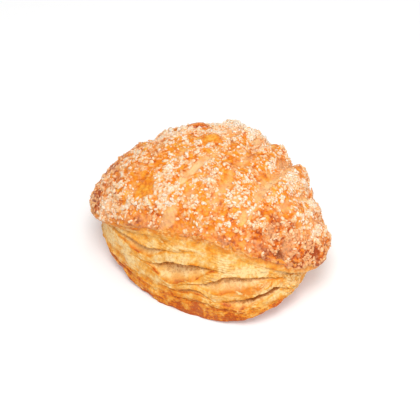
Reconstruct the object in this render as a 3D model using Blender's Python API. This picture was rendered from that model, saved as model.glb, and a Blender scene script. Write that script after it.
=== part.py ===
"""Sugared puff pastry: a domed, slashed top sheet over a flaky side that gapes in lens-shaped pockets.

The pastry lies as baked, on a small flat spot under its middle, with both ends lifted like a boat's.
Metres, +Z up, +X along its length, -Y towards the open front. The origin is on the table, under the
middle of the whole. It is one solid: the baked dough, with the coarse sugar grains fused to its top.
"""

import math
from typing import NamedTuple

import bmesh
import bpy
import numpy as np
from mathutils import Euler, Matrix, Vector

MM = 0.001

# The top sheet: the outline of its rim from above, then its heights.
CRUST_CENTRE = (-0.5 * MM, -2.6 * MM)
CRUST_HALF_LENGTH = 61.3 * MM
CRUST_FRONT_REACH = 37.6 * MM
CRUST_BACK_REACH = 50.2 * MM
CRUST_FRONT_POWER = 2.6
CRUST_BACK_POWER = 1.6
RIM_HEIGHT_FRONT = 38.3 * MM
RIM_HEIGHT_BACK = 31.0 * MM
RIM_HEIGHT_LEFT = 21.1 * MM
RIM_HEIGHT_RIGHT = 19.6 * MM
RIM_DROOP_POWER = 2.5
DOME_TOP = 61.0 * MM
DOME_CENTRE = (-4.4 * MM, 0.9 * MM)
DOME_WIDTH_POWER = 1.18
DOME_HEIGHT_POWER = 1.12
OVAL_SOFTNESS = 0.08

# The foot: the lower edge of the side, and the flat spot inside it.
FOOT_CENTRE = (-2.5 * MM, -7.3 * MM)
FOOT_HALF_LENGTH = 53.4 * MM
FOOT_REACH = 40.1 * MM
FOOT_POWER = 2.5
FOOT_TWIST = -0.14
FOOT_LIFT_LEFT = 15.9 * MM
FOOT_LIFT_RIGHT = 11.3 * MM
FOOT_LIFT_POWER = 2.5
FLAT_SHARE = 0.55
UNDERSIDE_POWER = 1.5

# The side wall between foot and rim.
WALL_BULGE = 2.0 * MM
TUCK_FRONT = 0.8 * MM
TUCK_ENDS = 6.0 * MM
TUCK_POWER = 1.8
NOSE_BULGE = 0.9 * MM
FOOT_ROUNDING = 0.6 * MM
LIP_FLARE = 1.1 * MM
CREASE_GAP = 0.015
CREASE_DEPTH = 0.7 * MM
LEAF_THICKNESS = 0.035
CREVICE_SHARE = 0.78
POCKET_POWER = 1.3
WALL_TOP = 0.985

# The knife cuts' direction and width, and the hem that the cuts stop short of.
CUT_LEAN = 0.13
CUT_LEAN_RIGHT = 0.29
CUT_FAN_START = 30.0 * MM
CUT_FAN_END = 52.0 * MM
CUT_HALF_WIDTH = 1.9 * MM
CUT_FRONT_END = -33.0 * MM
CUT_FADE = 9.0 * MM
SWELL_SKEW = 0.85
HEM_SHARE = 0.30
HEM_WIDTH = 0.07
HEM_DEPTH = 0.8 * MM
LUMP_HEIGHT = 0.5 * MM
LUMP_LENGTH = 11.0 * MM

# Sugar.
GRAIN_COUNT = 120
GRAIN_RADIUS = (0.95 * MM, 1.35 * MM)
GRAIN_SPACING = 5.2 * MM
GRAIN_SINK = 0.25
GRAIN_STRETCH = 0.25
SUGAR_SEED = 7
SUGAR_GRID = (240, 90)
SUGAR_TURNS = (0.12, 1.52)
DRAWS_PER_GRAIN = 40

# The fine surface, and the triangles that the baked dough keeps of it.
AROUND = 300
LEAF_ROWS = 6
POCKET_ROWS = 5
DOME_ROWS = 56
UNDERSIDE_ROWS = 12
DOUGH_TRIANGLES = 6400
SHARP_ANGLE = math.radians(40)
BAKED_COLOUR = (0.76, 0.42, 0.13, 1.0)


class Cut(NamedTuple):
    """A knife cut over the top: where it crosses the middle line, how deep, and the swell to its right."""

    place: float
    depth: float
    swell: float


class Swelling(NamedTuple):
    """A round blister of the top sheet, or with a negative height a hollow."""

    x: float
    y: float
    radius: float
    height: float


class Pocket(NamedTuple):
    """A lens-shaped gap between two leaves of the side.

    Start and end are degrees round the side, with the front's middle at -90. Rise and drop are how far
    its lips part from the crease, as shares of the side's height. Peak is where it gapes most, from 0 to 1.
    """

    start: float
    end: float
    rise: float
    drop: float
    depth: float
    peak: float = 0.5


class Crease(NamedTuple):
    """A line where two leaves of the side meet: its path as (degrees, share of height), and its pockets."""

    path: tuple
    pockets: tuple


CUTS = (
    Cut(-66.0 * MM, 0.0, 0.4 * MM),
    Cut(-44.0 * MM, 0.5 * MM, 0.4 * MM),
    Cut(-29.5 * MM, 0.6 * MM, 0.5 * MM),
    Cut(-15.0 * MM, 0.6 * MM, 0.7 * MM),
    Cut(0.3 * MM, 0.9 * MM, 1.2 * MM),
    Cut(13.9 * MM, 1.1 * MM, 1.5 * MM),
    Cut(29.2 * MM, 1.8 * MM, 2.0 * MM),
    Cut(42.3 * MM, 1.9 * MM, 0.6 * MM),
    Cut(54.0 * MM, 2.1 * MM, 1.0 * MM),
    Cut(66.0 * MM, 0.0, 0.0),
)

SWELLINGS = (
    Swelling(-23.0 * MM, 21.0 * MM, 6.0 * MM, 1.6 * MM),
    Swelling(-49.0 * MM, -3.0 * MM, 14.0 * MM, -1.8 * MM),
    Swelling(-34.0 * MM, 12.0 * MM, 13.0 * MM, -1.2 * MM),
    Swelling(-50.0 * MM, -28.0 * MM, 8.0 * MM, 1.2 * MM),
    Swelling(-9.5 * MM, -35.0 * MM, 4.5 * MM, 0.8 * MM),
    Swelling(4.0 * MM, 28.0 * MM, 12.0 * MM, 2.0 * MM),
    Swelling(49.0 * MM, 7.0 * MM, 14.0 * MM, -2.2 * MM),
    Swelling(57.0 * MM, -10.0 * MM, 8.0 * MM, 1.2 * MM),
)

CREASES = (
    Crease(
        ((-180, 0.20), (-120, 0.17), (-83, 0.23), (-75, 0.28), (-67, 0.23), (-40, 0.20), (30, 0.16),
         (95, 0.20)),
        (
            Pocket(-83, -67, 0.02, 0.03, 2.0 * MM),
            Pocket(-150, -122, 0.04, 0.05, 2.5 * MM),
            Pocket(58, 92, 0.05, 0.07, 3.0 * MM),
            Pocket(132, 158, 0.04, 0.05, 2.5 * MM),
        ),
    ),
    Crease(
        ((-180, 0.36), (-125, 0.31), (-92, 0.31), (-80, 0.43), (-70, 0.34), (-58, 0.36), (-44, 0.60),
         (-20, 0.42), (60, 0.36), (120, 0.38)),
        (
            Pocket(-91, -71, 0.02, 0.04, 2.5 * MM),
            Pocket(-70, -44, 0.03, 0.10, 4.2 * MM, 0.55),
            Pocket(8, 48, 0.05, 0.08, 3.5 * MM),
            Pocket(92, 128, 0.06, 0.10, 4.0 * MM, 0.4),
        ),
    ),
    Crease(
        ((-180, 0.50), (-120, 0.44), (-95, 0.38), (-80, 0.52), (-62, 0.68), (-47, 0.82), (-20, 0.62),
         (40, 0.54), (95, 0.58), (140, 0.50)),
        (
            Pocket(-80, -46, 0.10, 0.14, 5.5 * MM, 0.42),
            Pocket(-20, 12, 0.05, 0.07, 3.0 * MM),
            Pocket(50, 88, 0.07, 0.11, 4.5 * MM),
            Pocket(140, 170, 0.05, 0.07, 3.0 * MM),
        ),
    ),
    Crease(
        ((-180, 0.66), (-125, 0.60), (-106, 0.57), (-90, 0.67), (-74, 0.77), (-60, 0.84), (-47, 0.90),
         (-15, 0.78), (50, 0.72), (110, 0.76)),
        (
            Pocket(-106, -74, 0.09, 0.28, 7.5 * MM, 0.5),
            Pocket(98, 136, 0.06, 0.12, 4.5 * MM, 0.6),
            Pocket(14, 44, 0.05, 0.08, 3.0 * MM),
        ),
    ),
    Crease(
        ((-180, 0.84), (-130, 0.88), (-106, 0.79), (-96, 0.85), (-84, 0.94), (-47, 0.96), (20, 0.90),
         (90, 0.90), (140, 0.86)),
        (
            Pocket(-130, -97, 0.04, 0.12, 4.5 * MM, 0.6),
            Pocket(60, 96, 0.04, 0.10, 3.5 * MM),
            Pocket(148, 172, 0.04, 0.08, 2.5 * MM),
        ),
    ),
)


def smooth_step(low, high, value):
    """0 below low, 1 above high and an S-curve between, as 3t^2 - 2t^3."""
    t = np.clip((value - low) / (high - low), 0, 1)
    return t * t * (3 - 2 * t)


def around(count):
    """Angles round the pastry from the left end, by way of the front, in radians."""
    return np.linspace(-np.pi, np.pi, count, endpoint=False)


def oval(angle, half_length, front_reach, back_reach, front_power, back_power):
    """A superellipse, (|cos|^p + |sin|^p)^(-1/p) times the half sizes, with its own power behind."""
    to_back = smooth_step(-0.35, 0.35, np.sin(angle))
    power = front_power + (back_power - front_power) * to_back
    reach = front_reach + (back_reach - front_reach) * to_back
    cos, sin = np.cos(angle), np.sin(angle)
    along = (cos**2 + OVAL_SOFTNESS**2) ** (power / 2)
    across = (sin**2 + OVAL_SOFTNESS**2) ** (power / 2)
    size = (along + across) ** (-1 / power)
    return half_length * size * cos, reach * size * sin


def rim_curve(angle):
    """The lower edge of the top sheet: it droops from the middle to both ends as |x|^2.5."""
    x, y = oval(
        angle, CRUST_HALF_LENGTH, CRUST_FRONT_REACH, CRUST_BACK_REACH, CRUST_FRONT_POWER, CRUST_BACK_POWER
    )
    to_back = smooth_step(-0.6, 0.9, np.sin(angle))
    middle = RIM_HEIGHT_FRONT + (RIM_HEIGHT_BACK - RIM_HEIGHT_FRONT) * to_back
    end = np.where(x < 0, RIM_HEIGHT_LEFT, RIM_HEIGHT_RIGHT)
    z = middle - (middle - end) * np.abs(x / CRUST_HALF_LENGTH) ** RIM_DROOP_POWER
    return np.stack([x + CRUST_CENTRE[0], y + CRUST_CENTRE[1], z], -1)


def foot_curve(angle):
    """The lower edge of the side, flat on the table in the middle and lifted at both ends."""
    x, y = oval(angle, FOOT_HALF_LENGTH, FOOT_REACH, FOOT_REACH, FOOT_POWER, FOOT_POWER)
    lift = np.where(x < 0, FOOT_LIFT_LEFT, FOOT_LIFT_RIGHT)
    z = lift * np.abs(x / FOOT_HALF_LENGTH) ** FOOT_LIFT_POWER
    return np.stack([x + FOOT_CENTRE[0], y + FOOT_TWIST * x + FOOT_CENTRE[1], z], -1)


def outward(curve):
    """The level direction that points away from a closed curve at each of its points."""
    along = np.roll(curve, -1, 0) - np.roll(curve, 1, 0)
    normal = np.stack([along[:, 1], -along[:, 0], np.zeros(len(curve))], -1)
    return normal / np.linalg.norm(normal, axis=1, keepdims=True)


def along_path(points, angle):
    """Heights read from (degrees, height) points, each joined to the next by an S-curve, and closed."""
    degrees = np.array([p[0] for p in points], float)
    heights = np.array([p[1] for p in points], float)
    degrees = np.append(degrees, degrees[0] + 360)
    heights = np.append(heights, heights[0])
    turned = (np.degrees(angle) - degrees[0]) % 360 + degrees[0]
    left = np.clip(np.searchsorted(degrees, turned, side="right") - 1, 0, len(points) - 1)
    share = smooth_step(degrees[left], degrees[left + 1], turned)
    return heights[left] + (heights[left + 1] - heights[left]) * share


def gape(pocket, angle):
    """How far a pocket is open, from 0 at its tips to 1 at its peak, as sin^1.3."""
    share = np.clip((np.degrees(angle) - pocket.start) / (pocket.end - pocket.start), 0, 1)
    skewed = np.where(
        share < pocket.peak,
        0.5 * share / pocket.peak,
        0.5 + 0.5 * (share - pocket.peak) / (1 - pocket.peak),
    )
    return np.sin(np.pi * skewed) ** POCKET_POWER


def crease_lines(angle):
    """For each crease, its lower lip and upper lip as shares of the side's height, its depth and its gape."""
    lines = []
    floor = np.full_like(angle, LEAF_THICKNESS)
    for crease in CREASES:
        middle = along_path(crease.path, angle)
        lower, upper = middle - CREASE_GAP / 2, middle + CREASE_GAP / 2
        depth, opened = np.full_like(angle, CREASE_DEPTH), np.zeros_like(angle)
        for pocket in crease.pockets:
            part = gape(pocket, angle)
            lower = lower - pocket.drop * part
            upper = upper + pocket.rise * part
            depth = depth + pocket.depth * part
            opened = opened + part
        lower = np.maximum(lower, floor)
        upper = np.minimum(np.maximum(upper, lower + CREASE_GAP), 1 - LEAF_THICKNESS)
        lines.append((lower, upper, depth, opened))
        floor = upper + LEAF_THICKNESS
    return lines


def wall_point(angle, share, offset):
    """A point of the side wall: on the line from foot to rim, bulged as a half sine, tucked in at the top."""
    foot, rim = foot_curve(angle), rim_curve(angle)
    share, offset = np.broadcast_to(share, angle.shape), np.broadcast_to(offset, angle.shape)
    tuck = TUCK_ENDS + (TUCK_FRONT - TUCK_ENDS) * smooth_step(0.45, 0.97, -np.sin(angle))
    height = (rim[:, 2] - foot[:, 2]) / RIM_HEIGHT_FRONT
    out = WALL_BULGE * height * np.sin(np.pi * share) - tuck * share**TUCK_POWER + offset
    return foot + (rim - foot) * share[:, None] + outward(rim) * out[:, None]


def leaf_rows(angle, low, high, flare_low, flare_high):
    """Rows up the rounded edge of one leaf, from its lower lip to its upper lip."""
    rows = []
    for t in np.linspace(0, 1, LEAF_ROWS):
        flare = flare_low * (1 - t) ** 2 + flare_high * t**2
        rows.append(wall_point(angle, low + (high - low) * t, NOSE_BULGE * 4 * t * (1 - t) + flare))
    return rows


def pocket_rows(angle, low, high, depth):
    """Rows from a lower lip in along the sloping floor to the crevice, and out again under the upper leaf."""
    crevice = low + (high - low) * CREVICE_SHARE
    rows = []
    for t in np.linspace(0, 1, POCKET_ROWS + 1)[1:]:
        rise = np.sin(t * np.pi / 2)
        rows.append(wall_point(angle, low + (crevice - low) * rise, -depth * t))
    for t in np.linspace(0, 1, POCKET_ROWS)[1:-1]:
        rows.append(wall_point(angle, crevice + (high - crevice) * t**0.7, -depth * (1 - t)))
    return rows


def side_rows(angle):
    """All rows of the side, from the foot up to the crease under the top sheet."""
    rows, low, flare_low = [], np.zeros_like(angle), -FOOT_ROUNDING
    for lower, upper, depth, opened in crease_lines(angle):
        rows += leaf_rows(angle, low, lower, flare_low, LIP_FLARE * 0.4 * opened)
        rows += pocket_rows(angle, lower, upper, depth)
        low, flare_low = upper, LIP_FLARE * opened
    rows += leaf_rows(angle, low, np.full_like(angle, WALL_TOP), flare_low, 0)
    return rows


def across_cuts(x, y):
    """The distance across the cuts, which lean to the right, and lean further near the right end."""
    lean = CUT_LEAN + (CUT_LEAN_RIGHT - CUT_LEAN) * smooth_step(CUT_FAN_START, CUT_FAN_END, x)
    return x - lean * y


def cut_depth(x, y):
    """How deep the knife's cuts are at a place on the top: a bell across each cut, faded near the front."""
    depth = np.zeros_like(x)
    for cut in CUTS:
        depth = depth + cut.depth * np.exp(-(((across_cuts(x, y) - cut.place) / CUT_HALF_WIDTH) ** 2))
    return depth * smooth_step(CUT_FRONT_END, CUT_FRONT_END + CUT_FADE, y)


def swell_height(x, y):
    """How far the crust swells: a half sine from each cut to the next, pushed to the left, plus blisters."""
    across = across_cuts(x, y)
    height = np.zeros_like(x)
    for cut, following in zip(CUTS, CUTS[1:]):
        share = np.clip((across - cut.place) / (following.place - cut.place), 0, 1)
        height = height + cut.swell * np.sin(np.pi * share * (1 + SWELL_SKEW * (1 - share)))
    height = height * smooth_step(CUT_FRONT_END, CUT_FRONT_END + 2 * CUT_FADE, y)
    for swelling in SWELLINGS:
        distance = np.hypot(x - swelling.x, y - swelling.y)
        height = height + swelling.height * smooth_step(0, swelling.radius, swelling.radius - distance)
    return height


def lumps(points):
    """Low uneven swellings: products of sines along three slanted directions."""
    a = points @ np.array([1.0, 0.6, 0.3]) / LUMP_LENGTH
    b = points @ np.array([-0.5, 1.0, 0.4]) / LUMP_LENGTH
    c = points @ np.array([0.3, -0.7, 1.0]) / LUMP_LENGTH
    waves = np.sin(2.1 * a) * np.sin(2.9 * b + 1.1) + np.sin(3.7 * c + 0.6) * np.sin(1.7 * a + 2.0)
    return LUMP_HEIGHT * waves


def surface_normals(rows):
    """Unit normals of a grid that is closed round its second direction, from its central differences."""
    up = np.gradient(rows, axis=0)
    along = np.roll(rows, -1, 1) - np.roll(rows, 1, 1)
    normal = np.cross(along, up)
    return normal / np.maximum(np.linalg.norm(normal, axis=2, keepdims=True), 1e-12)


def dome_grid(angle, turns):
    """The top: at turn w it is cos(w)^(1/1.18) of the way out to its rim, and sin(w)^1.12 of the way up."""
    rim = rim_curve(angle)
    reach = np.cos(turns)[:, None, None] ** (1 / DOME_WIDTH_POWER)
    level = np.sin(turns)[:, None] ** DOME_HEIGHT_POWER
    centre = np.array(DOME_CENTRE)
    plan = centre + (rim[None, :, :2] - centre) * reach
    height = rim[None, :, 2] + (DOME_TOP - rim[None, :, 2]) * level
    smooth = np.concatenate([plan, height[..., None]], 2)
    x, y = smooth[..., 0], smooth[..., 1]
    hem = np.exp(-(((turns[:, None] / (np.pi / 2) - HEM_SHARE) / HEM_WIDTH) ** 2))
    hem = hem * smooth_step(0.1, 0.6, -np.sin(angle))
    relief = swell_height(x, y) + lumps(smooth) - cut_depth(x, y) - HEM_DEPTH * hem
    ease = smooth_step(0, 0.12, turns)[:, None] * smooth_step(0, 0.25, np.pi / 2 - turns)[:, None]
    return smooth + surface_normals(smooth) * (relief * ease)[..., None]


def dome_rows(angle):
    """Rows of the top sheet, from its rim to the last ring before its highest point."""
    turns = np.linspace(0, np.pi / 2, DOME_ROWS + 1)[:-1]
    return list(dome_grid(angle, turns))


def underside_rows(angle):
    """Rows of the underside, from the flat spot's middle out to the rounded foot."""
    foot = wall_point(angle, np.zeros_like(angle), -FOOT_ROUNDING)
    centre = np.array([*FOOT_CENTRE, 0.0])
    rows = []
    for share in np.linspace(0, 1, UNDERSIDE_ROWS + 1)[1:-1]:
        lift = max(share - FLAT_SHARE, 0.0) / (1 - FLAT_SHARE)
        row = centre + (foot - centre) * share
        row[:, 2] = foot[:, 2] * lift**UNDERSIDE_POWER
        rows.append(row)
    return rows


def closed_mesh(name, rows, bottom, top):
    """A mesh from rings of equal count, joined by quads, with a fan at each end to a single point."""
    rings, count = len(rows), len(rows[0])
    points = [tuple(bottom), *map(tuple, np.concatenate(rows)), tuple(top)]
    ring = np.arange(count)
    following = np.roll(ring, -1)
    faces = [(0, 1 + b, 1 + a) for a, b in zip(ring, following)]
    for r in range(rings - 1):
        low, high = 1 + r * count, 1 + (r + 1) * count
        faces += [(low + a, low + b, high + b, high + a) for a, b in zip(ring, following)]
    last = 1 + (rings - 1) * count
    faces += [(last + a, last + b, len(points) - 1) for a, b in zip(ring, following)]
    mesh = bpy.data.meshes.new(name)
    mesh.from_pydata(points, [], faces)
    return mesh


def apply_modifiers(obj):
    """Replaces an object's mesh by the one that its modifiers make."""
    graph = bpy.context.evaluated_depsgraph_get()
    finished = bpy.data.meshes.new_from_object(obj.evaluated_get(graph))
    obj.modifiers.clear()
    obj.data = finished


def bake_dough():
    """The dough as one closed body, thinned to the triangles that its relief needs."""
    angle = around(AROUND)
    rows = underside_rows(angle) + side_rows(angle) + dome_rows(angle)
    mesh = closed_mesh("pastry", rows, (*FOOT_CENTRE, 0.0), (*DOME_CENTRE, DOME_TOP))
    dough = bpy.data.objects.new("pastry", mesh)
    bpy.context.scene.collection.objects.link(dough)
    thin = dough.modifiers.new("thin", "DECIMATE")
    thin.ratio = DOUGH_TRIANGLES / sum(len(p.vertices) - 2 for p in mesh.polygons)
    apply_modifiers(dough)
    return dough


def grain_places(random):
    """Places and normals for the sugar: drawn evenly over the top, and kept apart from each other."""
    grid = dome_grid(around(SUGAR_GRID[0]), np.linspace(*SUGAR_TURNS, SUGAR_GRID[1]))
    normals = surface_normals(grid)
    up, along = np.gradient(grid, axis=0), np.roll(grid, -1, 1) - grid
    area = np.linalg.norm(np.cross(along, up), axis=2).ravel()
    drawn = random.choice(area.size, size=GRAIN_COUNT * DRAWS_PER_GRAIN, replace=False, p=area / area.sum())
    kept = []
    for index in drawn:
        place = grid.reshape(-1, 3)[index]
        if all(np.linalg.norm(place - other) > GRAIN_SPACING for other, _ in kept):
            kept.append((place, normals.reshape(-1, 3)[index]))
        if len(kept) == GRAIN_COUNT:
            break
    return kept


def sugar_grain(name, place, normal, random):
    """One coarse grain: a twenty-sided lump, stretched and turned at random, and sunk a little in."""
    radius = random.uniform(*GRAIN_RADIUS)
    stretch = 1 + random.uniform(-GRAIN_STRETCH, GRAIN_STRETCH, 3)
    turn = Euler(random.uniform(0, 2 * np.pi, 3)).to_matrix().to_4x4()
    centre = Vector(place) + Vector(normal) * radius * (0.5 - GRAIN_SINK)
    mesh = bpy.data.meshes.new(name)
    shape = bmesh.new()
    bmesh.ops.create_icosphere(shape, subdivisions=1, radius=radius)
    shape.transform(Matrix.Translation(centre) @ turn @ Matrix.Diagonal((*stretch, 1)))
    shape.to_mesh(mesh)
    shape.free()
    return bpy.data.objects.new(name, mesh)


def fuse_sugar(dough):
    """Joins the sugar grains to the dough by one Boolean union, and removes the loose grains."""
    random = np.random.default_rng(SUGAR_SEED)
    sugar = bpy.data.collections.new("sugar")
    bpy.context.scene.collection.children.link(sugar)
    for number, (place, normal) in enumerate(grain_places(random)):
        sugar.objects.link(sugar_grain(f"grain_{number}", place, normal, random))
    join = dough.modifiers.new("join", "BOOLEAN")
    join.operation = "UNION"
    join.operand_type = "COLLECTION"
    join.collection = sugar
    join.solver = "EXACT"
    apply_modifiers(dough)
    for grain in list(sugar.objects):
        bpy.data.objects.remove(grain)
    bpy.data.collections.remove(sugar)


def baked_material():
    """Golden baked dough."""
    material = bpy.data.materials.new("baked_dough")
    material.use_nodes = True
    shader = material.node_tree.nodes["Principled BSDF"]
    shader.inputs["Base Color"].default_value = BAKED_COLOUR
    shader.inputs["Roughness"].default_value = 0.55
    shader.inputs["Metallic"].default_value = 0.0
    return material


def main():
    for obj in list(bpy.data.objects):
        bpy.data.objects.remove(obj)
    dough = bake_dough()
    fuse_sugar(dough)
    dough.data.materials.clear()
    dough.data.materials.append(baked_material())
    dough.data.shade_smooth()
    dough.data.set_sharp_from_angle(angle=SHARP_ANGLE)


main()
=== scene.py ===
"""A sugared puff pastry's looks: a domed crust under coarse sugar, over the flaky leaves of its open side.

The pastry's one solid is replaced by a crust, six leaves stacked below it, sugar and loose flakes. Their
shapes come from the same curves and sizes as the solid's. Metres, +Z up, -Y towards the open front.
"""

import math
from itertools import combinations
from typing import NamedTuple

import bpy
import numpy as np
from mathutils import Matrix, Vector


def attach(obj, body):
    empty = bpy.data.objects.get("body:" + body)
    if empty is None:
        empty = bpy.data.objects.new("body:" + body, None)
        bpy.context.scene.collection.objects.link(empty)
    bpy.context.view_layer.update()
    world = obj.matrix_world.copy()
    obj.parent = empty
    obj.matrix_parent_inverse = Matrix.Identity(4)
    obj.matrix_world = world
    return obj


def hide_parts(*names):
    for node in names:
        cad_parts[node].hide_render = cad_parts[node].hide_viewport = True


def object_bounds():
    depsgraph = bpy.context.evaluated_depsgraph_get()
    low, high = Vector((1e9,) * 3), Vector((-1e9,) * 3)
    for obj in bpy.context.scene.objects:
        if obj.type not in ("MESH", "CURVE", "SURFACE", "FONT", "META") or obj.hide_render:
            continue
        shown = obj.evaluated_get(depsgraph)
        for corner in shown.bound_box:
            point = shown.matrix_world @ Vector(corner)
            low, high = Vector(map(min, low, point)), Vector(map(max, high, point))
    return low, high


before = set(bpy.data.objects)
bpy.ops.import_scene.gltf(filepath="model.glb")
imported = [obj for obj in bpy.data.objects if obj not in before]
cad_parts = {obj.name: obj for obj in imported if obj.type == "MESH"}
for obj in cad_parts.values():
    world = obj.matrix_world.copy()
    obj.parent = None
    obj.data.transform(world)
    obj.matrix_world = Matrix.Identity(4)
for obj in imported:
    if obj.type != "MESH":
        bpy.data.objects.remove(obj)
CAD_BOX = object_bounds()
MM = 0.001

# The photograph's view: the camera's angles, its distance from the point it faces, how far it is raised above
# that, and its lens in millimetres.
VIEW_AZIMUTH = math.radians(20.69)
VIEW_ELEVATION = math.radians(43.28)
VIEW_DISTANCE = 620.0 * MM
VIEW_TARGET = (-0.5 * MM, -3.4 * MM, 25.0 * MM)
VIEW_RAISE = 2.3 * MM
LENS = 106.3

# The outline, and the rim's height, turn from the front's into the back's between these sines of the angle.
OUTLINE_TO_BACK = (-0.35, 0.35)
RIM_TO_BACK = (-0.6, 0.9)

# The top sheet: the outline of its rim from above, the rim's heights, and how the dome rises from it.
CRUST_CENTRE = (-0.5 * MM, -2.6 * MM)
CRUST_HALF_LENGTH = 61.3 * MM
CRUST_FRONT_REACH = 37.6 * MM
CRUST_BACK_REACH = 50.2 * MM
CRUST_FRONT_POWER = 2.6
CRUST_BACK_POWER = 1.6
RIM_HEIGHT_FRONT = 38.3 * MM
RIM_HEIGHT_BACK = 31.0 * MM
RIM_HEIGHT_LEFT = 21.1 * MM
RIM_HEIGHT_RIGHT = 18.8 * MM
RIM_DROOP_POWER = 2.5
DOME_TOP = 61.0 * MM
DOME_CENTRE = (-4.4 * MM, 0.9 * MM)
DOME_WIDTH_POWER = 1.18
DOME_HEIGHT_POWER = 1.12
OVAL_SOFTNESS = 0.08
RIM_RAGGED = 0.35 * MM

# The foot: the lower edge of the side, and the flat spot inside it.
FOOT_CENTRE = (-2.5 * MM, -7.3 * MM)
FOOT_HALF_LENGTH = 53.4 * MM
FOOT_REACH = 40.1 * MM
FOOT_POWER = 2.5
FOOT_TWIST = -0.14
FOOT_LIFT_LEFT = 15.9 * MM
FOOT_LIFT_RIGHT = 11.3 * MM
FOOT_LIFT_POWER = 2.5
FLAT_SHARE = 0.55
UNDERSIDE_POWER = 1.5

# The side wall between foot and rim: how far it bulges, how far its top is tucked in under the rim at the
# front and at the ends, with the sines that it changes between, and how hollow it is from x = 0 leftwards.
WALL_BULGE = 2.0 * MM
TUCK_FRONT = 0.1 * MM
TUCK_ENDS = 6.0 * MM
TUCK_TO_FRONT = (0.45, 0.97)
TUCK_POWER = 1.8
LEFT_HOLLOW = 2.1 * MM
LEFT_HOLLOW_SPAN = (0, -26 * MM)

# The leaves: how round their noses are, how far the lips of pockets flare, how far in past a gap the leaves
# reach, their least thickness and the top one's upper edge as shares of the side, and how far the ledge over
# it sags.
NOSE_BULGE = 0.5 * MM
LIP_FLARE = 1.1 * MM
LEAF_INSET = 1.2 * MM
LEAF_THICKNESS = 0.035
WALL_TOP = 0.985
LEDGE_SAG = 0.5 * MM

# The creases between them: their gap as a share of the side, their depth, how many degrees past a pocket they
# fade away in, and how far up its gap a pocket's leaves meet. Pockets open as a sine to this power.
CREASE_GAP = 0.015
CREASE_DEPTH = 0.9 * MM
CREASE_FADE = 12.0
CREVICE_SHARE = 0.78
POCKET_POWER = 1.3

# How high the leaves' broad folds, crinkles, lumps and grain are, and the wrinkles inside a pocket.
FOLD_HEIGHT = 0.5 * MM
CRINKLE_HEIGHT = 0.85 * MM
DOUGH_HEIGHT = 0.45 * MM
GRAIN_HEIGHT = 0.12 * MM
WRINKLE_HEIGHT = 0.35 * MM

# The knife cuts: how far they lean, how far near the right end, where that begins and is reached, half their
# width, how far they wander, how far forward they run, and in what length they fade there.
CUT_LEAN = 0.13
CUT_LEAN_RIGHT = 0.29
CUT_FAN_START = 30.0 * MM
CUT_FAN_END = 52.0 * MM
CUT_HALF_WIDTH = 2.2 * MM
CUT_WANDER = 0.9 * MM
CUT_FRONT_END = -33.0 * MM
CUT_FADE = 9.0 * MM

# How far left the swells between cuts lean, the groove and hem along the front, the crust's lumps and smaller
# unevenness, and how much of the cuts' relief the front keeps.
SWELL_SKEW = 0.85
HEM_SHARE = 0.30
HEM_WIDTH = 0.07
HEM_DEPTH = 0.8 * MM
HEM_SPAN = (46 * MM, 26 * MM)
LUMP_HEIGHT = 0.5 * MM
LUMP_LENGTH = 11.0 * MM
UNEVEN_HEIGHT = 0.5 * MM
FRONT_RELIEF = 0.4
RELIEF_SPAN = (-8 * MM, 22 * MM)

# Melted sugar: how thickly it lies, how unevenly, its least and most, and how high it stands.
SUGAR_MEAN = 0.78
SUGAR_UNEVEN = 0.4
SUGAR_LEAST = 0.2
SUGAR_MOST = 1.1
SUGAR_HEIGHT = 0.55 * MM
# How much more of it lies in the sugared patches and along the back, where it also paints brighter light, and
# where that begins and is full.
PATCH_SUGAR = 0.50
BACK_SUGAR_AND_LIGHT = 0.30
BACK_SPAN = (16 * MM, 34 * MM)
# How much of it is missing from the hem, and from browned, pale and bare dough.
HEM_LOSS = 0.55
BROWNED_LOSS = 0.2
PALE_LOSS = 0.95
BARE_LOSS = 0.9

# How brown the crust is, how unevenly, and how much more so at the rim, its ends, its edge and in patches.
BROWN_MEAN = 0.36
BROWN_UNEVEN = 0.28
BROWN_RIM = 0.10
BROWN_ENDS = 0.40
BROWN_EDGE = 0.3
BROWN_PATCH = 0.32

# How deep the crust's pits are, and how high its pale blisters.
PIT_DEPTH = 0.24 * MM
BLISTER_HEIGHT = 0.3 * MM

# The glazed sheet: how thick it is over the leaves, and where its ragged lower edge runs, as
# (degrees round the pastry, turn up the dome in radians). Then how far the leaves reach under it, and how far
# it is let in.
SHEET_THICKNESS = 0.18 * MM
SHEET_EDGE = (
    (-180, 0.04), (-140, 0.04), (-118, 0.09), (-98, 0.22), (-75, 0.25), (-55, 0.18), (-40, 0.12), (-15, 0.06),
    (60, 0.05), (130, 0.05),
)
SHEET_OVERLAP = 0.09
SHEET_INSET = 0.45 * MM

# Thin layers in the side: their height and how far they stand proud.
LAYER_HEIGHT = 1.25 * MM
LAYER_PROUD = 0.38 * MM

# The front corner, where the open side turns to the right end: its angle, width and how far it stands proud.
CORNER_ANGLE = -47.0
CORNER_WIDTH = 4.5
CORNER_PROUD = 1.1 * MM

# The pale flaky dough right of that corner, and left of it the browner dough, which reaches higher there.
PALE_ANGLE = CORNER_ANGLE + 12
PALE_WIDTH = 15.0
BAKED_ANGLE = CORNER_ANGLE - 12
BAKED_WIDTH = 16.0
BAKED_RISE = 0.11

# How far from the sides of the solid's box the outermost points are eased inwards.
BOX_EASE = 1.5 * MM

# How finely the surfaces are worked out.
FLAKE_COLUMNS = 5
FLAKE_ROWS = 3
CRUST_AROUND = 760
CRUST_ROWS = 118
LEAF_AROUND = 1000
NOSE_ROWS = 34
FACE_ROWS = 15
LEDGE_ROWS = 6
SHOULDER_ROWS = 22
UNDERSIDE_ROWS = 38


class Cut(NamedTuple):
    """A knife cut over the top: where it crosses the middle line, how deep, and the swell to its right."""

    place: float
    depth: float
    swell: float


class Swelling(NamedTuple):
    """A round blister of the top sheet, or with a negative height a hollow."""

    x: float
    y: float
    radius: float
    height: float


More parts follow.
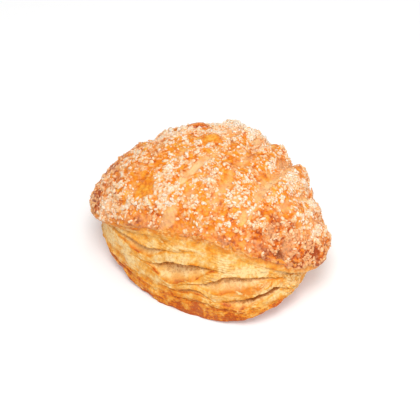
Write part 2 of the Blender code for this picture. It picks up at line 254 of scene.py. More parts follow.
class Pocket(NamedTuple):
    """A lens-shaped gap between two leaves of the side.

    Start and end are degrees round the side, with the front's middle at -90. Rise and drop are how far its
    lips part from the crease, as shares of the side's height, and it is so many millimetres deep. Peak is
    where it gapes most, from 0 to 1.
    """

    start: float
    end: float
    rise: float
    drop: float
    depth: float
    peak: float = 0.5


class Crease(NamedTuple):
    """A line where two leaves of the side meet: its path as (degrees, share of height), and its pockets."""

    path: tuple
    pockets: tuple


class Spot(NamedTuple):
    """A place on the side: its middle and width in degrees, its height above the second crease and half of
    how high it is itself, both as shares of the side's height.
    """

    angle: float
    width: float
    above: float
    half_height: float


class Grains(NamedTuple):
    """One size of sugar: its seed, the most grains, their radii and spacing, and if they are smooth."""

    name: str
    seed: int
    count: int
    least: float
    most: float
    spacing: float
    smooth: bool


# The knife cuts, from left to right, in millimetres.
CUTS = [Cut(*np.multiply(row, MM)) for row in (
    (-66.0, 0.0, 0.4), (-44.0, 0.5, 0.4), (-29.5, 0.6, 0.5), (-15.0, 0.6, 0.7), (0.3, 0.9, 1.2),
    (13.9, 1.1, 1.5), (29.2, 1.8, 2.0), (42.3, 1.9, 0.6), (54.0, 2.1, 1.0), (66.0, 0.0, 0.0),
)]

# Blisters and hollows, in millimetres.
SWELLINGS = [Swelling(*np.multiply(row, MM)) for row in (
    (-23.0, 21.0, 6.0, 1.6), (-49.0, -3.0, 14.0, -1.8), (-34.0, 12.0, 13.0, -1.2), (-50.0, -28.0, 8.0, 1.2),
    (-9.5, -35.0, 4.5, 0.8), (4.0, 28.0, 12.0, 2.0), (49.0, 7.0, 14.0, -2.2), (57.0, -10.0, 8.0, 1.2),
    (-1.0, 38.0, 11.0, 2.2), (29.5, 35.5, 7.0, -2.4), (36.5, 21.0, 6.5, 1.8), (45.5, 18.3, 5.0, -2.8),
    (43.0, 24.5, 6.5, -1.6), (50.5, 15.5, 8.0, -2.6), (59.5, 0.0, 8.0, 1.2), (50.5, 10.0, 5.5, 1.7),
    (43.5, 27.0, 5.0, -3.0), (53.0, 14.5, 4.5, -1.8), (59.0, -11.0, 6.0, 1.3), (-38.0, 16.0, 9.0, -2.2),
    (-47.0, 9.0, 8.0, -1.0), (-56.0, -2.0, 6.0, -0.9),
)]

# Patches of the crust, as (x, y, radius) in millimetres: bare and shiny ones, pale blisters, browned ones and
# thickly sugared ones.
BARE_PATCHES = (
    (-26.2, -25.5, 6.5), (-6.4, 12.0, 5.0), (28.6, -1.7, 6.5), (11.0, -12.0, 5.0), (-48.0, 6.0, 5.0),
    (20.0, 30.0, 5.0), (-4.5, -38.2, 3.2), (25.0, -37.5, 3.4),
)
PALE_PATCHES = ((-9.5, -35.4, 4.2), (18.6, -20.9, 3.4))
BROWNED_PATCHES = (
    (-58.0, -6.0, 12.0), (-50.5, -19.0, 10.0), (-48.0, 10.0, 11.0), (-25.5, -38.7, 4.5), (38.0, -33.0, 8.0),
    (46.0, -24.0, 12.0), (20.0, -38.0, 5.0), (56.0, -18.0, 8.0), (-20.0, 24.0, 5.0), (30.0, 38.0, 7.0),
    (-38.0, 26.0, 7.0),
)
SUGARED_PATCHES = (
    (4.0, 30.0, 20.0), (-1.0, 37.0, 16.0), (-43.0, -32.5, 8.5), (-31.0, -34.5, 6.0), (-14.0, -33.5, 7.0),
    (42.0, 8.0, 9.0), (52.0, -4.0, 6.0), (-24.0, 18.0, 10.0),
)

# Knife cuts that the baked dough shows pale in, as (x, y) to (x, y) and half the width, in millimetres.
PALE_SLASHES = (
    (33.9, 11.5, 27.6, -14.0, 1.9), (-2.5, -1.5, -8.8, -18.5, 2.0), (17.0, 38.0, 13.0, 22.0, 1.5),
    (-21.0, 36.0, -26.0, 20.0, 1.5), (50.0, 18.0, 43.0, 2.0, 1.3),
)
SLASH_DEPTH = 0.5 * MM

# A small hole in the crust near the front corner, with painted shade in it, as (x, y), with its radius and
# depth.
HOLE = (44.3 * MM, -28.5 * MM)
HOLE_RADIUS = 1.9 * MM
HOLE_DEPTH = 3.0 * MM

# Flakes of the side: how many to a leaf, their least and most lengths, widths as shares of the lengths, and
# lifts in millimetres, how thick they are, and how far their roots are sunk in.
SIDE_FLAKES = 60
FLAKE_LENGTHS = (2.0, 6.0)
FLAKE_WIDTHS = (0.25, 0.45)
FLAKE_LIFTS = (0.10, 0.55)
FLAKE_THICKNESS = 0.14 * MM
FLAKE_SUNK = 0.12 * MM

# Flakes of the crust, in millimetres: the place that each is nearest to, its length, width and lift, and then
# its turn in degrees from level.
CRUST_FLAKES = (
    (-18.0, 24.0, 55.0, 12.0, 6.0, 1.1, 190), (-27.0, 21.0, 53.0, 8.0, 4.0, 0.9, 20),
    (-58.0, -14.0, 30.0, 5.0, 2.6, 0.7, 30), (-25.5, -38.7, 39.2, 7.0, 2.2, 0.6, 0),
    (8.0, -38.0, 42.0, 8.0, 2.4, 0.6, 5), (24.0, -36.0, 41.0, 6.0, 2.4, 0.6, -5),
    (50.0, -24.0, 31.0, 7.0, 2.8, 0.8, -20), (60.0, -8.0, 26.0, 6.0, 2.8, 0.8, 10),
    (48.0, 22.0, 32.0, 8.0, 3.4, 0.9, 0), (26.0, 38.0, 36.0, 9.0, 3.6, 1.0, 15),
    (-6.0, 44.0, 36.0, 8.0, 3.4, 0.9, -10), (-34.0, 32.0, 34.0, 9.0, 3.6, 1.0, 20),
    (-54.0, 14.0, 28.0, 7.0, 3.0, 0.8, 0),
)

# Loose sugar, from melted clumps to small sharp grains.
SUGARS = (
    Grains("coarse_sugar", 5, 1480, 0.80 * MM, 1.30 * MM, 2.0 * MM, True),
    Grains("medium_sugar", 6, 3850, 0.50 * MM, 0.85 * MM, 1.2 * MM, True),
    Grains("fine_sugar", 7, 950, 0.25 * MM, 0.40 * MM, 0.8 * MM, False),
)

# Its grains: how thin and how uneven they are at least and most, how much longer than wide, how flat they are
# pressed, and how far their middles lie off the surface, in radii.
GRAIN_THIN = (0.55, 1.0)
GRAIN_UNEVEN = (0.75, 1.2)
GRAIN_LONG = 1.8
GRAIN_PRESSED = 0.35
GRAIN_RISE = (-0.3, 0.15)

# The baked fold over the pocket nearest the front corner, how strongly it is glazed, and that pocket's right
# end, whose floor is darkened with painted shade.
FOLD = Spot(-58.0, 10.0, 0.20, 0.07)
FOLD_GLAZE = 1.5
SHADED_HOLLOW = Spot(-47.0, 7.0, -0.03, 0.08)

# The creases between the leaves, from the lowest up.
CREASES = [Crease(path, [Pocket(*row) for row in pockets]) for path, pockets in (
    (
        ((-180, 0.20), (-120, 0.17), (-83, 0.23), (-75, 0.28), (-67, 0.23), (-40, 0.20), (30, 0.16),
         (95, 0.20)),
        ((-83, -67, 0.02, 0.03, 2.0), (-150, -122, 0.04, 0.05, 2.5), (58, 92, 0.05, 0.07, 3.0),
         (132, 158, 0.04, 0.05, 2.5)),
    ),
    (
        ((-180, 0.36), (-125, 0.31), (-92, 0.31), (-80, 0.43), (-70, 0.34), (-58, 0.36), (-44, 0.60),
         (-20, 0.42), (60, 0.36), (120, 0.38)),
        ((-91, -71, 0.02, 0.04, 2.5), (-70, -38, 0.07, 0.13, 6.0, 0.72), (8, 48, 0.05, 0.08, 3.5),
         (92, 128, 0.06, 0.10, 4.0, 0.4)),
    ),
    (
        ((-180, 0.50), (-120, 0.44), (-95, 0.38), (-80, 0.52), (-62, 0.68), (-47, 0.82), (-20, 0.62),
         (40, 0.54), (95, 0.58), (140, 0.50)),
        ((-80, -46, 0.10, 0.14, 5.5, 0.42), (-20, 12, 0.05, 0.07, 3.0), (50, 88, 0.07, 0.11, 4.5),
         (140, 170, 0.05, 0.07, 3.0)),
    ),
    (
        ((-180, 0.66), (-125, 0.60), (-106, 0.57), (-90, 0.67), (-74, 0.77), (-60, 0.84), (-47, 0.90),
         (-15, 0.78), (50, 0.72), (110, 0.76)),
        ((-106, -74, 0.09, 0.28, 7.5, 0.5), (98, 136, 0.06, 0.12, 4.5, 0.6), (14, 44, 0.05, 0.08, 3.0)),
    ),
    (
        ((-180, 0.84), (-130, 0.88), (-106, 0.79), (-96, 0.85), (-84, 0.94), (-47, 0.96), (20, 0.90),
         (90, 0.90), (140, 0.86)),
        ((-130, -97, 0.04, 0.12, 4.5, 0.6), (60, 96, 0.04, 0.10, 3.5), (148, 172, 0.04, 0.08, 2.5)),
    ),
)]


# Curves and waves

def smooth_step(low, high, value):
    """0 below low, 1 above high and an S-curve between, as 3t^2 - 2t^3."""
    t = np.clip((value - low) / (high - low), 0, 1)
    return t * t * (3 - 2 * t)


def bell(value, middle, width):
    """A bell of height 1, as e^(-t^2), where t is the distance from the middle in widths."""
    return np.exp(-(((value - middle) / width) ** 2))


def lattice_noise(points, size, seed):
    """Random values from -1 to 1 at the corners of cubes of that size, joined by S-curves in between."""
    count = 32
    values = np.random.default_rng(seed).uniform(-1, 1, (count, count, count))
    cell = points / size + count / 2
    corner = np.floor(cell).astype(int)
    t = cell - corner
    t = t * t * (3 - 2 * t)
    total = np.zeros(points.shape[:-1])
    for step in np.ndindex(2, 2, 2):
        weight = np.prod(np.where(step, t, 1 - t), axis=-1)
        i, j, k = np.moveaxis((corner + step) % count, -1, 0)
        total += weight * values[i, j, k]
    return total


def rough(points, size, seed, octaves=3):
    """Lattice noise at that size and at its halves, each at half the strength of the one before."""
    return sum(lattice_noise(points, size / 2**k, seed + k) / 2**k for k in range(octaves))


def around(count):
    """Angles round the pastry from the left end, by way of the front, in radians."""
    return np.linspace(-np.pi, np.pi, count, endpoint=False)


def ring_points(angle):
    """Points on a circle of the side's rough size, on which noise that runs round the pastry is read."""
    return np.stack([np.cos(angle), np.sin(angle), np.zeros_like(angle)], -1) * CRUST_HALF_LENGTH


def oval(angle, half_length, front_reach, back_reach, front_power, back_power):
    """A softened superellipse, (|cos|^p + |sin|^p)^(-1/p) times the half sizes, with its own power behind."""
    to_back = smooth_step(*OUTLINE_TO_BACK, np.sin(angle))
    power = front_power + (back_power - front_power) * to_back
    reach = front_reach + (back_reach - front_reach) * to_back
    cos, sin = np.cos(angle), np.sin(angle)
    along = (cos**2 + OVAL_SOFTNESS**2) ** (power / 2)
    across = (sin**2 + OVAL_SOFTNESS**2) ** (power / 2)
    size = (along + across) ** (-1 / power)
    return half_length * size * cos, reach * size * sin


def rim_curve(angle):
    """The lower edge of the top sheet: it droops from the middle to both ends as |x|^2.5."""
    x, y = oval(
        angle, CRUST_HALF_LENGTH, CRUST_FRONT_REACH, CRUST_BACK_REACH, CRUST_FRONT_POWER, CRUST_BACK_POWER
    )
    to_back = smooth_step(*RIM_TO_BACK, np.sin(angle))
    middle = RIM_HEIGHT_FRONT + (RIM_HEIGHT_BACK - RIM_HEIGHT_FRONT) * to_back
    end = np.where(x < 0, RIM_HEIGHT_LEFT, RIM_HEIGHT_RIGHT)
    z = middle - (middle - end) * np.abs(x / CRUST_HALF_LENGTH) ** RIM_DROOP_POWER
    return np.stack([x + CRUST_CENTRE[0], y + CRUST_CENTRE[1], z], -1)


def foot_curve(angle):
    """The lower edge of the side, flat on the table in the middle and lifted at both ends."""
    x, y = oval(angle, FOOT_HALF_LENGTH, FOOT_REACH, FOOT_REACH, FOOT_POWER, FOOT_POWER)
    lift = np.where(x < 0, FOOT_LIFT_LEFT, FOOT_LIFT_RIGHT)
    z = lift * np.abs(x / FOOT_HALF_LENGTH) ** FOOT_LIFT_POWER
    return np.stack([x + FOOT_CENTRE[0], y + FOOT_TWIST * x + FOOT_CENTRE[1], z], -1)


def outward(curve):
    """The level direction that points away from a closed curve at each of its points."""
    along = np.roll(curve, -1, 0) - np.roll(curve, 1, 0)
    normal = np.stack([along[:, 1], -along[:, 0], np.zeros(len(curve))], -1)
    return normal / np.linalg.norm(normal, axis=1, keepdims=True)


def along_path(points, angle):
    """Heights read from (degrees, height) points, each joined to the next by an S-curve, and closed."""
    degrees = np.array([p[0] for p in points], float)
    heights = np.array([p[1] for p in points], float)
    degrees = np.append(degrees, degrees[0] + 360)
    heights = np.append(heights, heights[0])
    turned = (np.degrees(angle) - degrees[0]) % 360 + degrees[0]
    left = np.clip(np.searchsorted(degrees, turned, side="right") - 1, 0, len(points) - 1)
    share = smooth_step(degrees[left], degrees[left + 1], turned)
    return heights[left] + (heights[left + 1] - heights[left]) * share


def gape(pocket, angle):
    """How far a pocket is open, from 0 at its tips to 1 at its peak, as sin^1.3."""
    share = np.clip((np.degrees(angle) - pocket.start) / (pocket.end - pocket.start), 0, 1)
    skewed = np.where(
        share < pocket.peak,
        0.5 * share / pocket.peak,
        0.5 + 0.5 * (share - pocket.peak) / (1 - pocket.peak),
    )
    return np.sin(np.pi * skewed) ** POCKET_POWER


class Gap(NamedTuple):
    """What lies between two leaves, at each angle: its lips as shares of the side's height, and the rest.

    Depth is in metres, gape is 1 in the middle of a pocket, and plainness is how clearly the crease shows.
    """

    lower: np.ndarray
    upper: np.ndarray
    depth: np.ndarray
    gape: np.ndarray
    plainness: np.ndarray

    @property
    def crevice(self):
        """The height at which the two leaves meet inside."""
        return self.lower + (self.upper - self.lower) * CREVICE_SHARE


def crease_plainness(crease, angle, seed):
    """How clearly a crease shows: fully along its pockets, fading beyond their tips, in places elsewhere."""
    degrees = np.degrees(angle)
    plain = 0.6 * smooth_step(0.2, 0.8, rough(ring_points(angle), 14 * MM, seed))
    for pocket in crease.pockets:
        outside = np.maximum(pocket.start - degrees, degrees - pocket.end)
        plain = np.maximum(plain, smooth_step(CREASE_FADE, 0, outside))
    return plain


def crease_gaps(angle):
    """The gap of each crease, from the lowest to the highest, with ragged lips."""
    gaps = []
    floor = np.full_like(angle, LEAF_THICKNESS)
    ring = ring_points(angle)
    for number, crease in enumerate(CREASES):
        middle = along_path(crease.path, angle) + 0.008 * rough(ring, 7 * MM, 40 + number)
        plain = crease_plainness(crease, angle, 30 + number)
        gap = CREASE_GAP * (plain - 0.1)
        lower, upper = middle - gap / 2, middle + gap / 2
        depth, gaping = CREASE_DEPTH * plain, np.zeros_like(angle)
        for pocket in crease.pockets:
            part = gape(pocket, angle)
            lower = lower - pocket.drop * part
            upper = upper + pocket.rise * part
            depth = depth + pocket.depth * MM * part
            gaping = gaping + part
        lower = lower + 0.010 * gaping * rough(ring, 3 * MM, 50 + number)
        upper = upper + 0.012 * gaping * rough(ring, 3 * MM, 60 + number)
        lower = np.maximum(lower, floor)
        upper = np.minimum(np.maximum(upper, lower + gap), 1 - LEAF_THICKNESS)
        gaps.append(Gap(lower, upper, depth, gaping, plain))
        floor = upper + LEAF_THICKNESS
    return gaps


def wall_points(angle, share, offset):
    """Points of the side wall: on the lines from foot to rim, bulged as a half sine, tucked in at the top.

    The front corner stands proud as a bell, and the left part of the side is a little hollow.
    """
    foot, rim = foot_curve(angle), rim_curve(angle)
    share, offset = np.broadcast_arrays(share, offset)
    tuck = TUCK_ENDS + (TUCK_FRONT - TUCK_ENDS) * smooth_step(*TUCK_TO_FRONT, -np.sin(angle))
    height = (rim[:, 2] - foot[:, 2]) / RIM_HEIGHT_FRONT
    inside = np.clip(share, 0, 1)
    corner = bell(np.degrees(angle), CORNER_ANGLE, CORNER_WIDTH)
    out = WALL_BULGE * height * np.sin(np.pi * inside) - tuck * inside**TUCK_POWER + offset
    out = out + CORNER_PROUD * corner * np.sin(np.pi * inside) ** 0.5
    hollow = smooth_step(*LEFT_HOLLOW_SPAN, foot[:, 0]) * (0.7 + 0.3 * np.sin(np.pi * inside))
    out = out - LEFT_HOLLOW * hollow
    return foot + (rim - foot) * share[..., None] + outward(rim) * out[..., None]


# Meshes

def surface_normals(rows):
    """Unit normals of a grid that is closed round its second direction, from its central differences."""
    up = np.gradient(rows, axis=0)
    along = np.roll(rows, -1, 1) - np.roll(rows, 1, 1)
    normal = np.cross(along, up)
    return normal / np.maximum(np.linalg.norm(normal, axis=2, keepdims=True), 1e-12)


def grid_faces(rings, count, loops_back):
    """Quads of a grid of rings: closed round each ring and, if it loops back, from the last to the first."""
    low = np.arange(rings if loops_back else rings - 1)[:, None]
    ring = np.arange(count)[None, :]
    following = (ring + 1) % count
    high = (low + 1) % rings
    faces = [low * count + ring, low * count + following, high * count + following, high * count + ring]
    return np.stack(np.broadcast_arrays(*faces), -1).reshape(-1, 4).tolist()


def pole_faces(ring_start, count, pole, below):
    """A fan of triangles from one ring to a single point below or above it."""
    ring = ring_start + np.arange(count)
    following = ring_start + (np.arange(count) + 1) % count
    pair = (following, ring) if below else (ring, following)
    return np.stack([*pair, np.full(count, pole)], -1).tolist()


def inside_box(points):
    """Points kept inside the solid's box: the last 1.5 mm before each side is squeezed as a tanh curve."""
    low, high = np.array(CAD_BOX)
    past_high = np.maximum(points - (high - BOX_EASE), 0) / BOX_EASE
    past_low = np.maximum(low + BOX_EASE - points, 0) / BOX_EASE
    past_low[:, 2] = 0
    return points + BOX_EASE * (np.tanh(past_high) - past_high - np.tanh(past_low) + past_low)


def new_object(name, data):
    """An object of the scene that shows this mesh, light or camera."""
    shown = bpy.data.objects.new(name, data)
    bpy.context.scene.collection.objects.link(shown)
    return shown


def new_piece(name, points, faces, material, smooth=True, **attributes):
    """A mesh object that rides on the pastry, stands for its solid and carries one value a point per name."""
    mesh = bpy.data.meshes.new(name)
    mesh.from_pydata(inside_box(points), [], faces)
    for attribute, values in attributes.items():
        layer = mesh.attributes.new(attribute, "FLOAT", "POINT")
        layer.data.foreach_set("value", values.astype(np.float32))
    mesh.polygons.foreach_set("use_smooth", np.full(len(mesh.polygons), smooth))
    mesh.materials.append(material)
    mesh.update()
    piece = new_object(name, mesh)
    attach(piece, "root")
    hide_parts("pastry")


def sheet_piece(name, rows, values, material, bottom, top):
    """A closed piece from rings stacked between two single points. Values holds rows of each attribute."""
    rings, count = rows.shape[:2]
    points = np.concatenate([rows.reshape(-1, 3), [bottom], [top]])
    faces = grid_faces(rings, count, loops_back=False)
    faces += pole_faces(0, count, rings * count, below=True)
    faces += pole_faces((rings - 1) * count, count, rings * count + 1, below=False)
    ends = {key: np.append(v.ravel(), [v[0].mean(), v[-1].mean()]) for key, v in values.items()}
    new_piece(name, points, faces, material, **ends)


def ring_piece(name, rows, values, material):
    """A closed ring-shaped piece from rings that run once round its cross-section."""
    faces = grid_faces(*rows.shape[:2], loops_back=True)
    new_piece(name, rows.reshape(-1, 3), faces, material, **{k: v.ravel() for k, v in values.items()})


# Crust

def across_cuts(x, y):
    """The distance across the cuts, which lean to the right, and lean further near the right end."""
    lean = CUT_LEAN + (CUT_LEAN_RIGHT - CUT_LEAN) * smooth_step(CUT_FAN_START, CUT_FAN_END, x)
    return x - lean * y


def cut_bells(x, y, wander):
    """How deep the cuts are: a bell across each, fading near the front."""
    across = across_cuts(x, y) + wander
    depth = sum(cut.depth * bell(across, cut.place, CUT_HALF_WIDTH) for cut in CUTS)
    return depth * smooth_step(CUT_FRONT_END, CUT_FRONT_END + CUT_FADE, y)


def front_share(y):
    """How much of the cuts' relief is left: all of it behind, less in front, where sugar fills it."""
    return FRONT_RELIEF + (1 - FRONT_RELIEF) * smooth_step(*RELIEF_SPAN, y)


def swell_height(x, y):
    """How far the crust swells: a half sine from each cut to the next, pushed to the left, plus blisters."""
    across = across_cuts(x, y)
    height = np.zeros_like(x)
    for cut, following in zip(CUTS, CUTS[1:]):
        share = np.clip((across - cut.place) / (following.place - cut.place), 0, 1)
        height = height + cut.swell * np.sin(np.pi * share * (1 + SWELL_SKEW * (1 - share)))
    height = height * smooth_step(CUT_FRONT_END, CUT_FRONT_END + 2 * CUT_FADE, y) * front_share(y)
    for swelling in SWELLINGS:
        distance = np.hypot(x - swelling.x, y - swelling.y)
        height = height + swelling.height * smooth_step(0, swelling.radius, swelling.radius - distance)
    return height


def lumps(points):
    """Low uneven swellings: products of sines along three slanted directions."""
    a = points @ np.array([1.0, 0.6, 0.3]) / LUMP_LENGTH
    b = points @ np.array([-0.5, 1.0, 0.4]) / LUMP_LENGTH
    c = points @ np.array([0.3, -0.7, 1.0]) / LUMP_LENGTH
    waves = np.sin(2.1 * a) * np.sin(2.9 * b + 1.1) + np.sin(3.7 * c + 0.6) * np.sin(1.7 * a + 2.0)
    return LUMP_HEIGHT * waves


class Dome(NamedTuple):
    """The top sheet's fine surface: its rows of points and normals, and what lies where on it."""

    points: np.ndarray
    normals: np.ndarray
    cut: np.ndarray
    hem: np.ndarray
    sugar: np.ndarray
    brown: np.ndarray
    fade: np.ndarray
    clots: np.ndarray


def patches_at(points, patches):
    """How far each point is inside any of the round patches, from 0 at their ragged edges to 1."""
    inside = np.zeros(points.shape[:-1])
    wander = 1.5 * MM * rough(points, 4 * MM, 27, 2)
    for x, y, radius in np.multiply(patches, MM):
        distance = np.hypot(points[..., 0] - x, points[..., 1] - y) + wander
        inside = np.maximum(inside, smooth_step(radius, 0.6 * radius, distance))
    return inside


def slashes_at(points):
    """1 along each pale slash, falling away with the distance from its line, and uneven along it."""
    place = points[..., :2] + 0.5 * MM * rough(points, 3 * MM, 29, 2)[..., None]
    inside = np.zeros(points.shape[:-1])
    for row in np.multiply(PALE_SLASHES, MM):
        start, along, half_width = row[:2], row[2:4] - row[:2], row[4]
        share = np.clip(((place - start) @ along) / (along @ along), 0, 1)
        distance = np.linalg.norm(place - start - share[..., None] * along, axis=-1)
        inside = np.maximum(inside, smooth_step(1.2 * half_width, 0.6 * half_width, distance))
    return inside * np.clip(0.9 + 0.5 * rough(points, 4 * MM, 39, 2), 0, 1)


def dome_points(angle, turns):
    """The top: at turn w it is cos(w)^(1/1.18) of the way out to its rim, and sin(w)^1.12 of the way up.

    Turns holds rows of one turn for each angle. Swells, lumps, cuts and the groove over the hem are added
    along the normals. Also gives each point's depth of cut.
    """
    rim = rim_curve(angle)
    ring = ring_points(angle)
    rim += outward(rim) * (RIM_RAGGED * rough(ring, 6 * MM, 3))[:, None]
    rim[:, 2] += RIM_RAGGED * rough(ring, 9 * MM, 5)
    reach = np.cos(turns)[..., None] ** (1 / DOME_WIDTH_POWER)
    level = np.sin(turns) ** DOME_HEIGHT_POWER
    centre = np.array(DOME_CENTRE)
    plan = centre + (rim[None, :, :2] - centre) * reach
    height = rim[None, :, 2] + (DOME_TOP - rim[None, :, 2]) * level
    smooth = np.concatenate([plan, height[..., None]], 2)
    x, y = smooth[..., 0], smooth[..., 1]
    share = turns / (np.pi / 2)
    groove = bell(share, HEM_SHARE, HEM_WIDTH) * smooth_step(0.1, 0.6, -np.sin(angle))
    cuts = cut_bells(x, y, CUT_WANDER * rough(smooth, 9 * MM, 11))
    relief = swell_height(x, y) + lumps(smooth) - cuts * front_share(y) - HEM_DEPTH * groove
    relief = relief + UNEVEN_HEIGHT * rough(smooth, 5 * MM, 13)
    ease = smooth_step(0, 0.12, turns) * smooth_step(0, 0.25, np.pi / 2 - turns)
    return smooth + surface_normals(smooth) * (relief * ease)[..., None], cuts


def sheet_edge(angle):
    """The turn at which the glazed sheet's lower edge runs: its path, made ragged by noise round the rim."""
    ring = ring_points(angle)
    ragged = 0.5 * rough(ring, 7 * MM, 91) + 0.6 * lattice_noise(ring, 1.7 * MM, 95)
    path = along_path(SHEET_EDGE, angle)
    return path * (1 + 0.35 * ragged)


def sugar_web(points):
    """Where melted sugar lies, from 0 to 1: broken strands on the zero lines of a noise, and round clots."""
    bent = points + 0.7 * MM * lattice_noise(points, 2.2 * MM, 33)[..., None]
    strands = smooth_step(0.30, 0.06, np.abs(lattice_noise(bent, 3.0 * MM, 31)))
    broken = smooth_step(-0.30, 0.25, lattice_noise(points, 3.6 * MM, 34))
    blobs = smooth_step(0.18, 0.50, lattice_noise(bent, 2.1 * MM, 36))
    return np.maximum(strands * broken, blobs)


class Marks(NamedTuple):
    """What marks the crust, each from 0 to 1. Pale is how pale the dough is in cuts, blisters and slashes."""

    bare: np.ndarray
    blister: np.ndarray
    browned: np.ndarray
    slashes: np.ndarray
    hole: np.ndarray
    pale: np.ndarray


def crust_marks(points, cuts):
    """The marks at these points of the dome, where its cuts are this deep."""
    blister, slashes = patches_at(points, PALE_PATCHES), slashes_at(points)
    from_hole = np.hypot(points[..., 0] - HOLE[0], points[..., 1] - HOLE[1])
    hole = smooth_step(HOLE_RADIUS, 0.4 * HOLE_RADIUS, from_hole)
    pale = 0.5 * np.clip(cuts / (1.0 * MM), 0, 1) * np.clip(0.6 + 0.9 * rough(points, 5 * MM, 23, 2), 0, 1)
    pale = np.maximum(np.maximum(pale, 0.6 * blister), slashes)
    browned = patches_at(points, BROWNED_PATCHES)
    return Marks(patches_at(points, BARE_PATCHES), blister, browned, slashes, hole, pale)


def hem_cover(angle, share, x):
    """1 on the hem along the front, fading up the dome and towards both ends."""
    low = smooth_step(HEM_SHARE + 0.06, HEM_SHARE - 0.08, share)
    return low * smooth_step(-0.1, 0.5, -np.sin(angle)) * smooth_step(*HEM_SPAN, np.abs(x))


def lying_sugar(points, marks, hem, patches):
    """How thickly sugar lies: uneven, thin on hem and marks, thick in patches, and behind, also as painted
    light.
    """
    sugar = np.clip(SUGAR_MEAN + SUGAR_UNEVEN * patches, SUGAR_LEAST, SUGAR_MOST) * (1 - HEM_LOSS * hem)
    sugar = sugar * (1 - BROWNED_LOSS * marks.browned) + PATCH_SUGAR * patches_at(points, SUGARED_PATCHES)
    # Along the back the extra sugar also paints in the brighter light that falls there.
    sugar = sugar + BACK_SUGAR_AND_LIGHT * smooth_step(*BACK_SPAN, points[..., 1])
    return sugar * (1 - PALE_LOSS * marks.pale) * (1 - BARE_LOSS * marks.bare) * (1 - marks.hole)


def fine_relief(marks, sugar, clots, pits, rise):
    """How far the fine surface stands out: the sheet behind its edge, sugar, pits, and what marks add."""
    height = SHEET_THICKNESS * smooth_step(0, 0.035, rise)
    height = height + SUGAR_HEIGHT * np.minimum(sugar, SUGAR_MOST) * clots
    height = height + PIT_DEPTH * pits * (1 - 0.6 * marks.slashes) + BLISTER_HEIGHT * marks.blister
    height = height - SLASH_DEPTH * marks.slashes - HOLE_DEPTH * marks.hole
    return height - SHEET_INSET * smooth_step(0.0, 0.1, rise)


def build_dome():
    """The glazed sheet from its lower edge to the top, with melted sugar, clots and grain on it."""
    angle = around(CRUST_AROUND)
    start = sheet_edge(angle)
    turns = start + (np.pi / 2 - start) * np.linspace(0, 1, CRUST_ROWS + 1)[:-1, None]
    smooth, cuts = dome_points(angle, turns)
    x, rise, share = smooth[..., 0], turns - start, turns / (np.pi / 2)
    marks = crust_marks(smooth, cuts)
    hem = hem_cover(angle, share, x)
    patches, pits = rough(smooth, 9 * MM, 21, 2), rough(smooth, 1.9 * MM, 17, 2)
    sugar, clots = lying_sugar(smooth, marks, hem, patches), sugar_web(smooth)
    points = smooth + surface_normals(smooth) * fine_relief(marks, sugar, clots, pits, rise)[..., None]

    ends = smooth_step(0.50, 0.95, np.abs(x) / CRUST_HALF_LENGTH)
    near_rim = smooth_step(0.45, 0.0, share)
    ragged = smooth_step(-0.2, 0.5, rough(ring_points(angle), 8 * MM, 97))
    toasted = smooth_step(0.16, 0.03, rise) * ragged
    brown = BROWN_MEAN - 0.10 * patches + BROWN_ENDS * ends * near_rim + BROWN_RIM * near_rim
    brown = brown + BROWN_UNEVEN * rough(points, 2.5 * MM, 35) + BROWN_EDGE * toasted - 0.1 * marks.bare
    # Low places of the pitted crust are painted browner and the hole darkest brown: painted shade.
    brown = np.clip(brown + BROWN_PATCH * marks.browned - 0.18 * pits + marks.hole, 0, 1)
    fade = smooth_step(0.07, 0.0, rise) * smooth_step(-0.3, 0.4, rough(points, 2.5 * MM, 37, 2))
    return Dome(points, surface_normals(points), marks.pale, hem, sugar, brown, fade, clots)


def crust(dome, material):
    """The glazed sheet as a closed shell: from a point inside, out under its edge, and over the top."""
    core = np.array([*DOME_CENTRE, RIM_HEIGHT_BACK])
    edge = dome.points[0] - dome.normals[0] * 2 * SHEET_THICKNESS
    steps = [core + (edge - core) * t for t in (0.4, 0.8, 1.0)]
    under = {"cut": 0.0, "hem": 0.3, "sugar": 0.1, "brown": 0.7, "fade": 0.5, "clots": 0.0}
    values = {
        name: np.concatenate([np.full((len(steps), CRUST_AROUND), value), getattr(dome, name)])
        for name, value in under.items()
    }
    peak = (*DOME_CENTRE, dome.points[-1, :, 2].mean())
    sheet_piece("crust", np.concatenate([np.stack(steps), dome.points]), values, material, core, peak)


# Leaves of the side

def leaf_profile(below, above):
    """One leaf's cross-section at every angle, in rows: out to the lip, up the nose, and back inside.

    Below and above are the gaps under and over it. The nose bulges between the creases that show.
    """
    low, high = below.upper, above.lower
    shares, offsets, inner, edge = [], [], [], []
    flare_low, flare_high = LIP_FLARE * below.gape, LIP_FLARE * 0.4 * above.gape
    lip_low, lip_high = NOSE_BULGE * (1 - below.plainness), NOSE_BULGE * (1 - above.plainness)
    for t in np.linspace(0, 1, FACE_ROWS)[:-1]:
        shares.append(below.crevice + (low - below.crevice) * (1 - (1 - t) ** 1.4))
        offsets.append(lip_low * t - (below.depth + LEAF_INSET) * (1 - t) + flare_low * t)
        inner.append(np.full_like(low, 1 - t))
        edge.append(below.plainness * smooth_step(0.7, 1, t))
    for t in np.linspace(0, 1, NOSE_ROWS):
        shares.append(low + (high - low) * t)
        to_low, to_high = max(1 - 2 * t, 0) ** 2, max(2 * t - 1, 0) ** 2
        bulge = NOSE_BULGE * (1 - below.plainness * to_low - above.plainness * to_high)
        offsets.append(bulge + flare_low * (1 - t) ** 2 + flare_high * t**2)
        inner.append(np.zeros_like(low))
        lip = 0.6 * below.plainness * smooth_step(0.2, 0, t)
        edge.append(lip + above.plainness * smooth_step(0.8, 0.97, t))
    for t in np.linspace(0, 1, FACE_ROWS)[1:]:
        shares.append(high + (above.crevice - high) * np.sin(t * np.pi / 2))
        offsets.append((lip_high + flare_high) * (1 - t) - (above.depth + LEAF_INSET) * t)
        inner.append(np.full_like(low, t))
        edge.append(above.plainness * smooth_step(0.2, 0, t))
    return [np.stack(part) for part in (shares, offsets, inner, edge)]


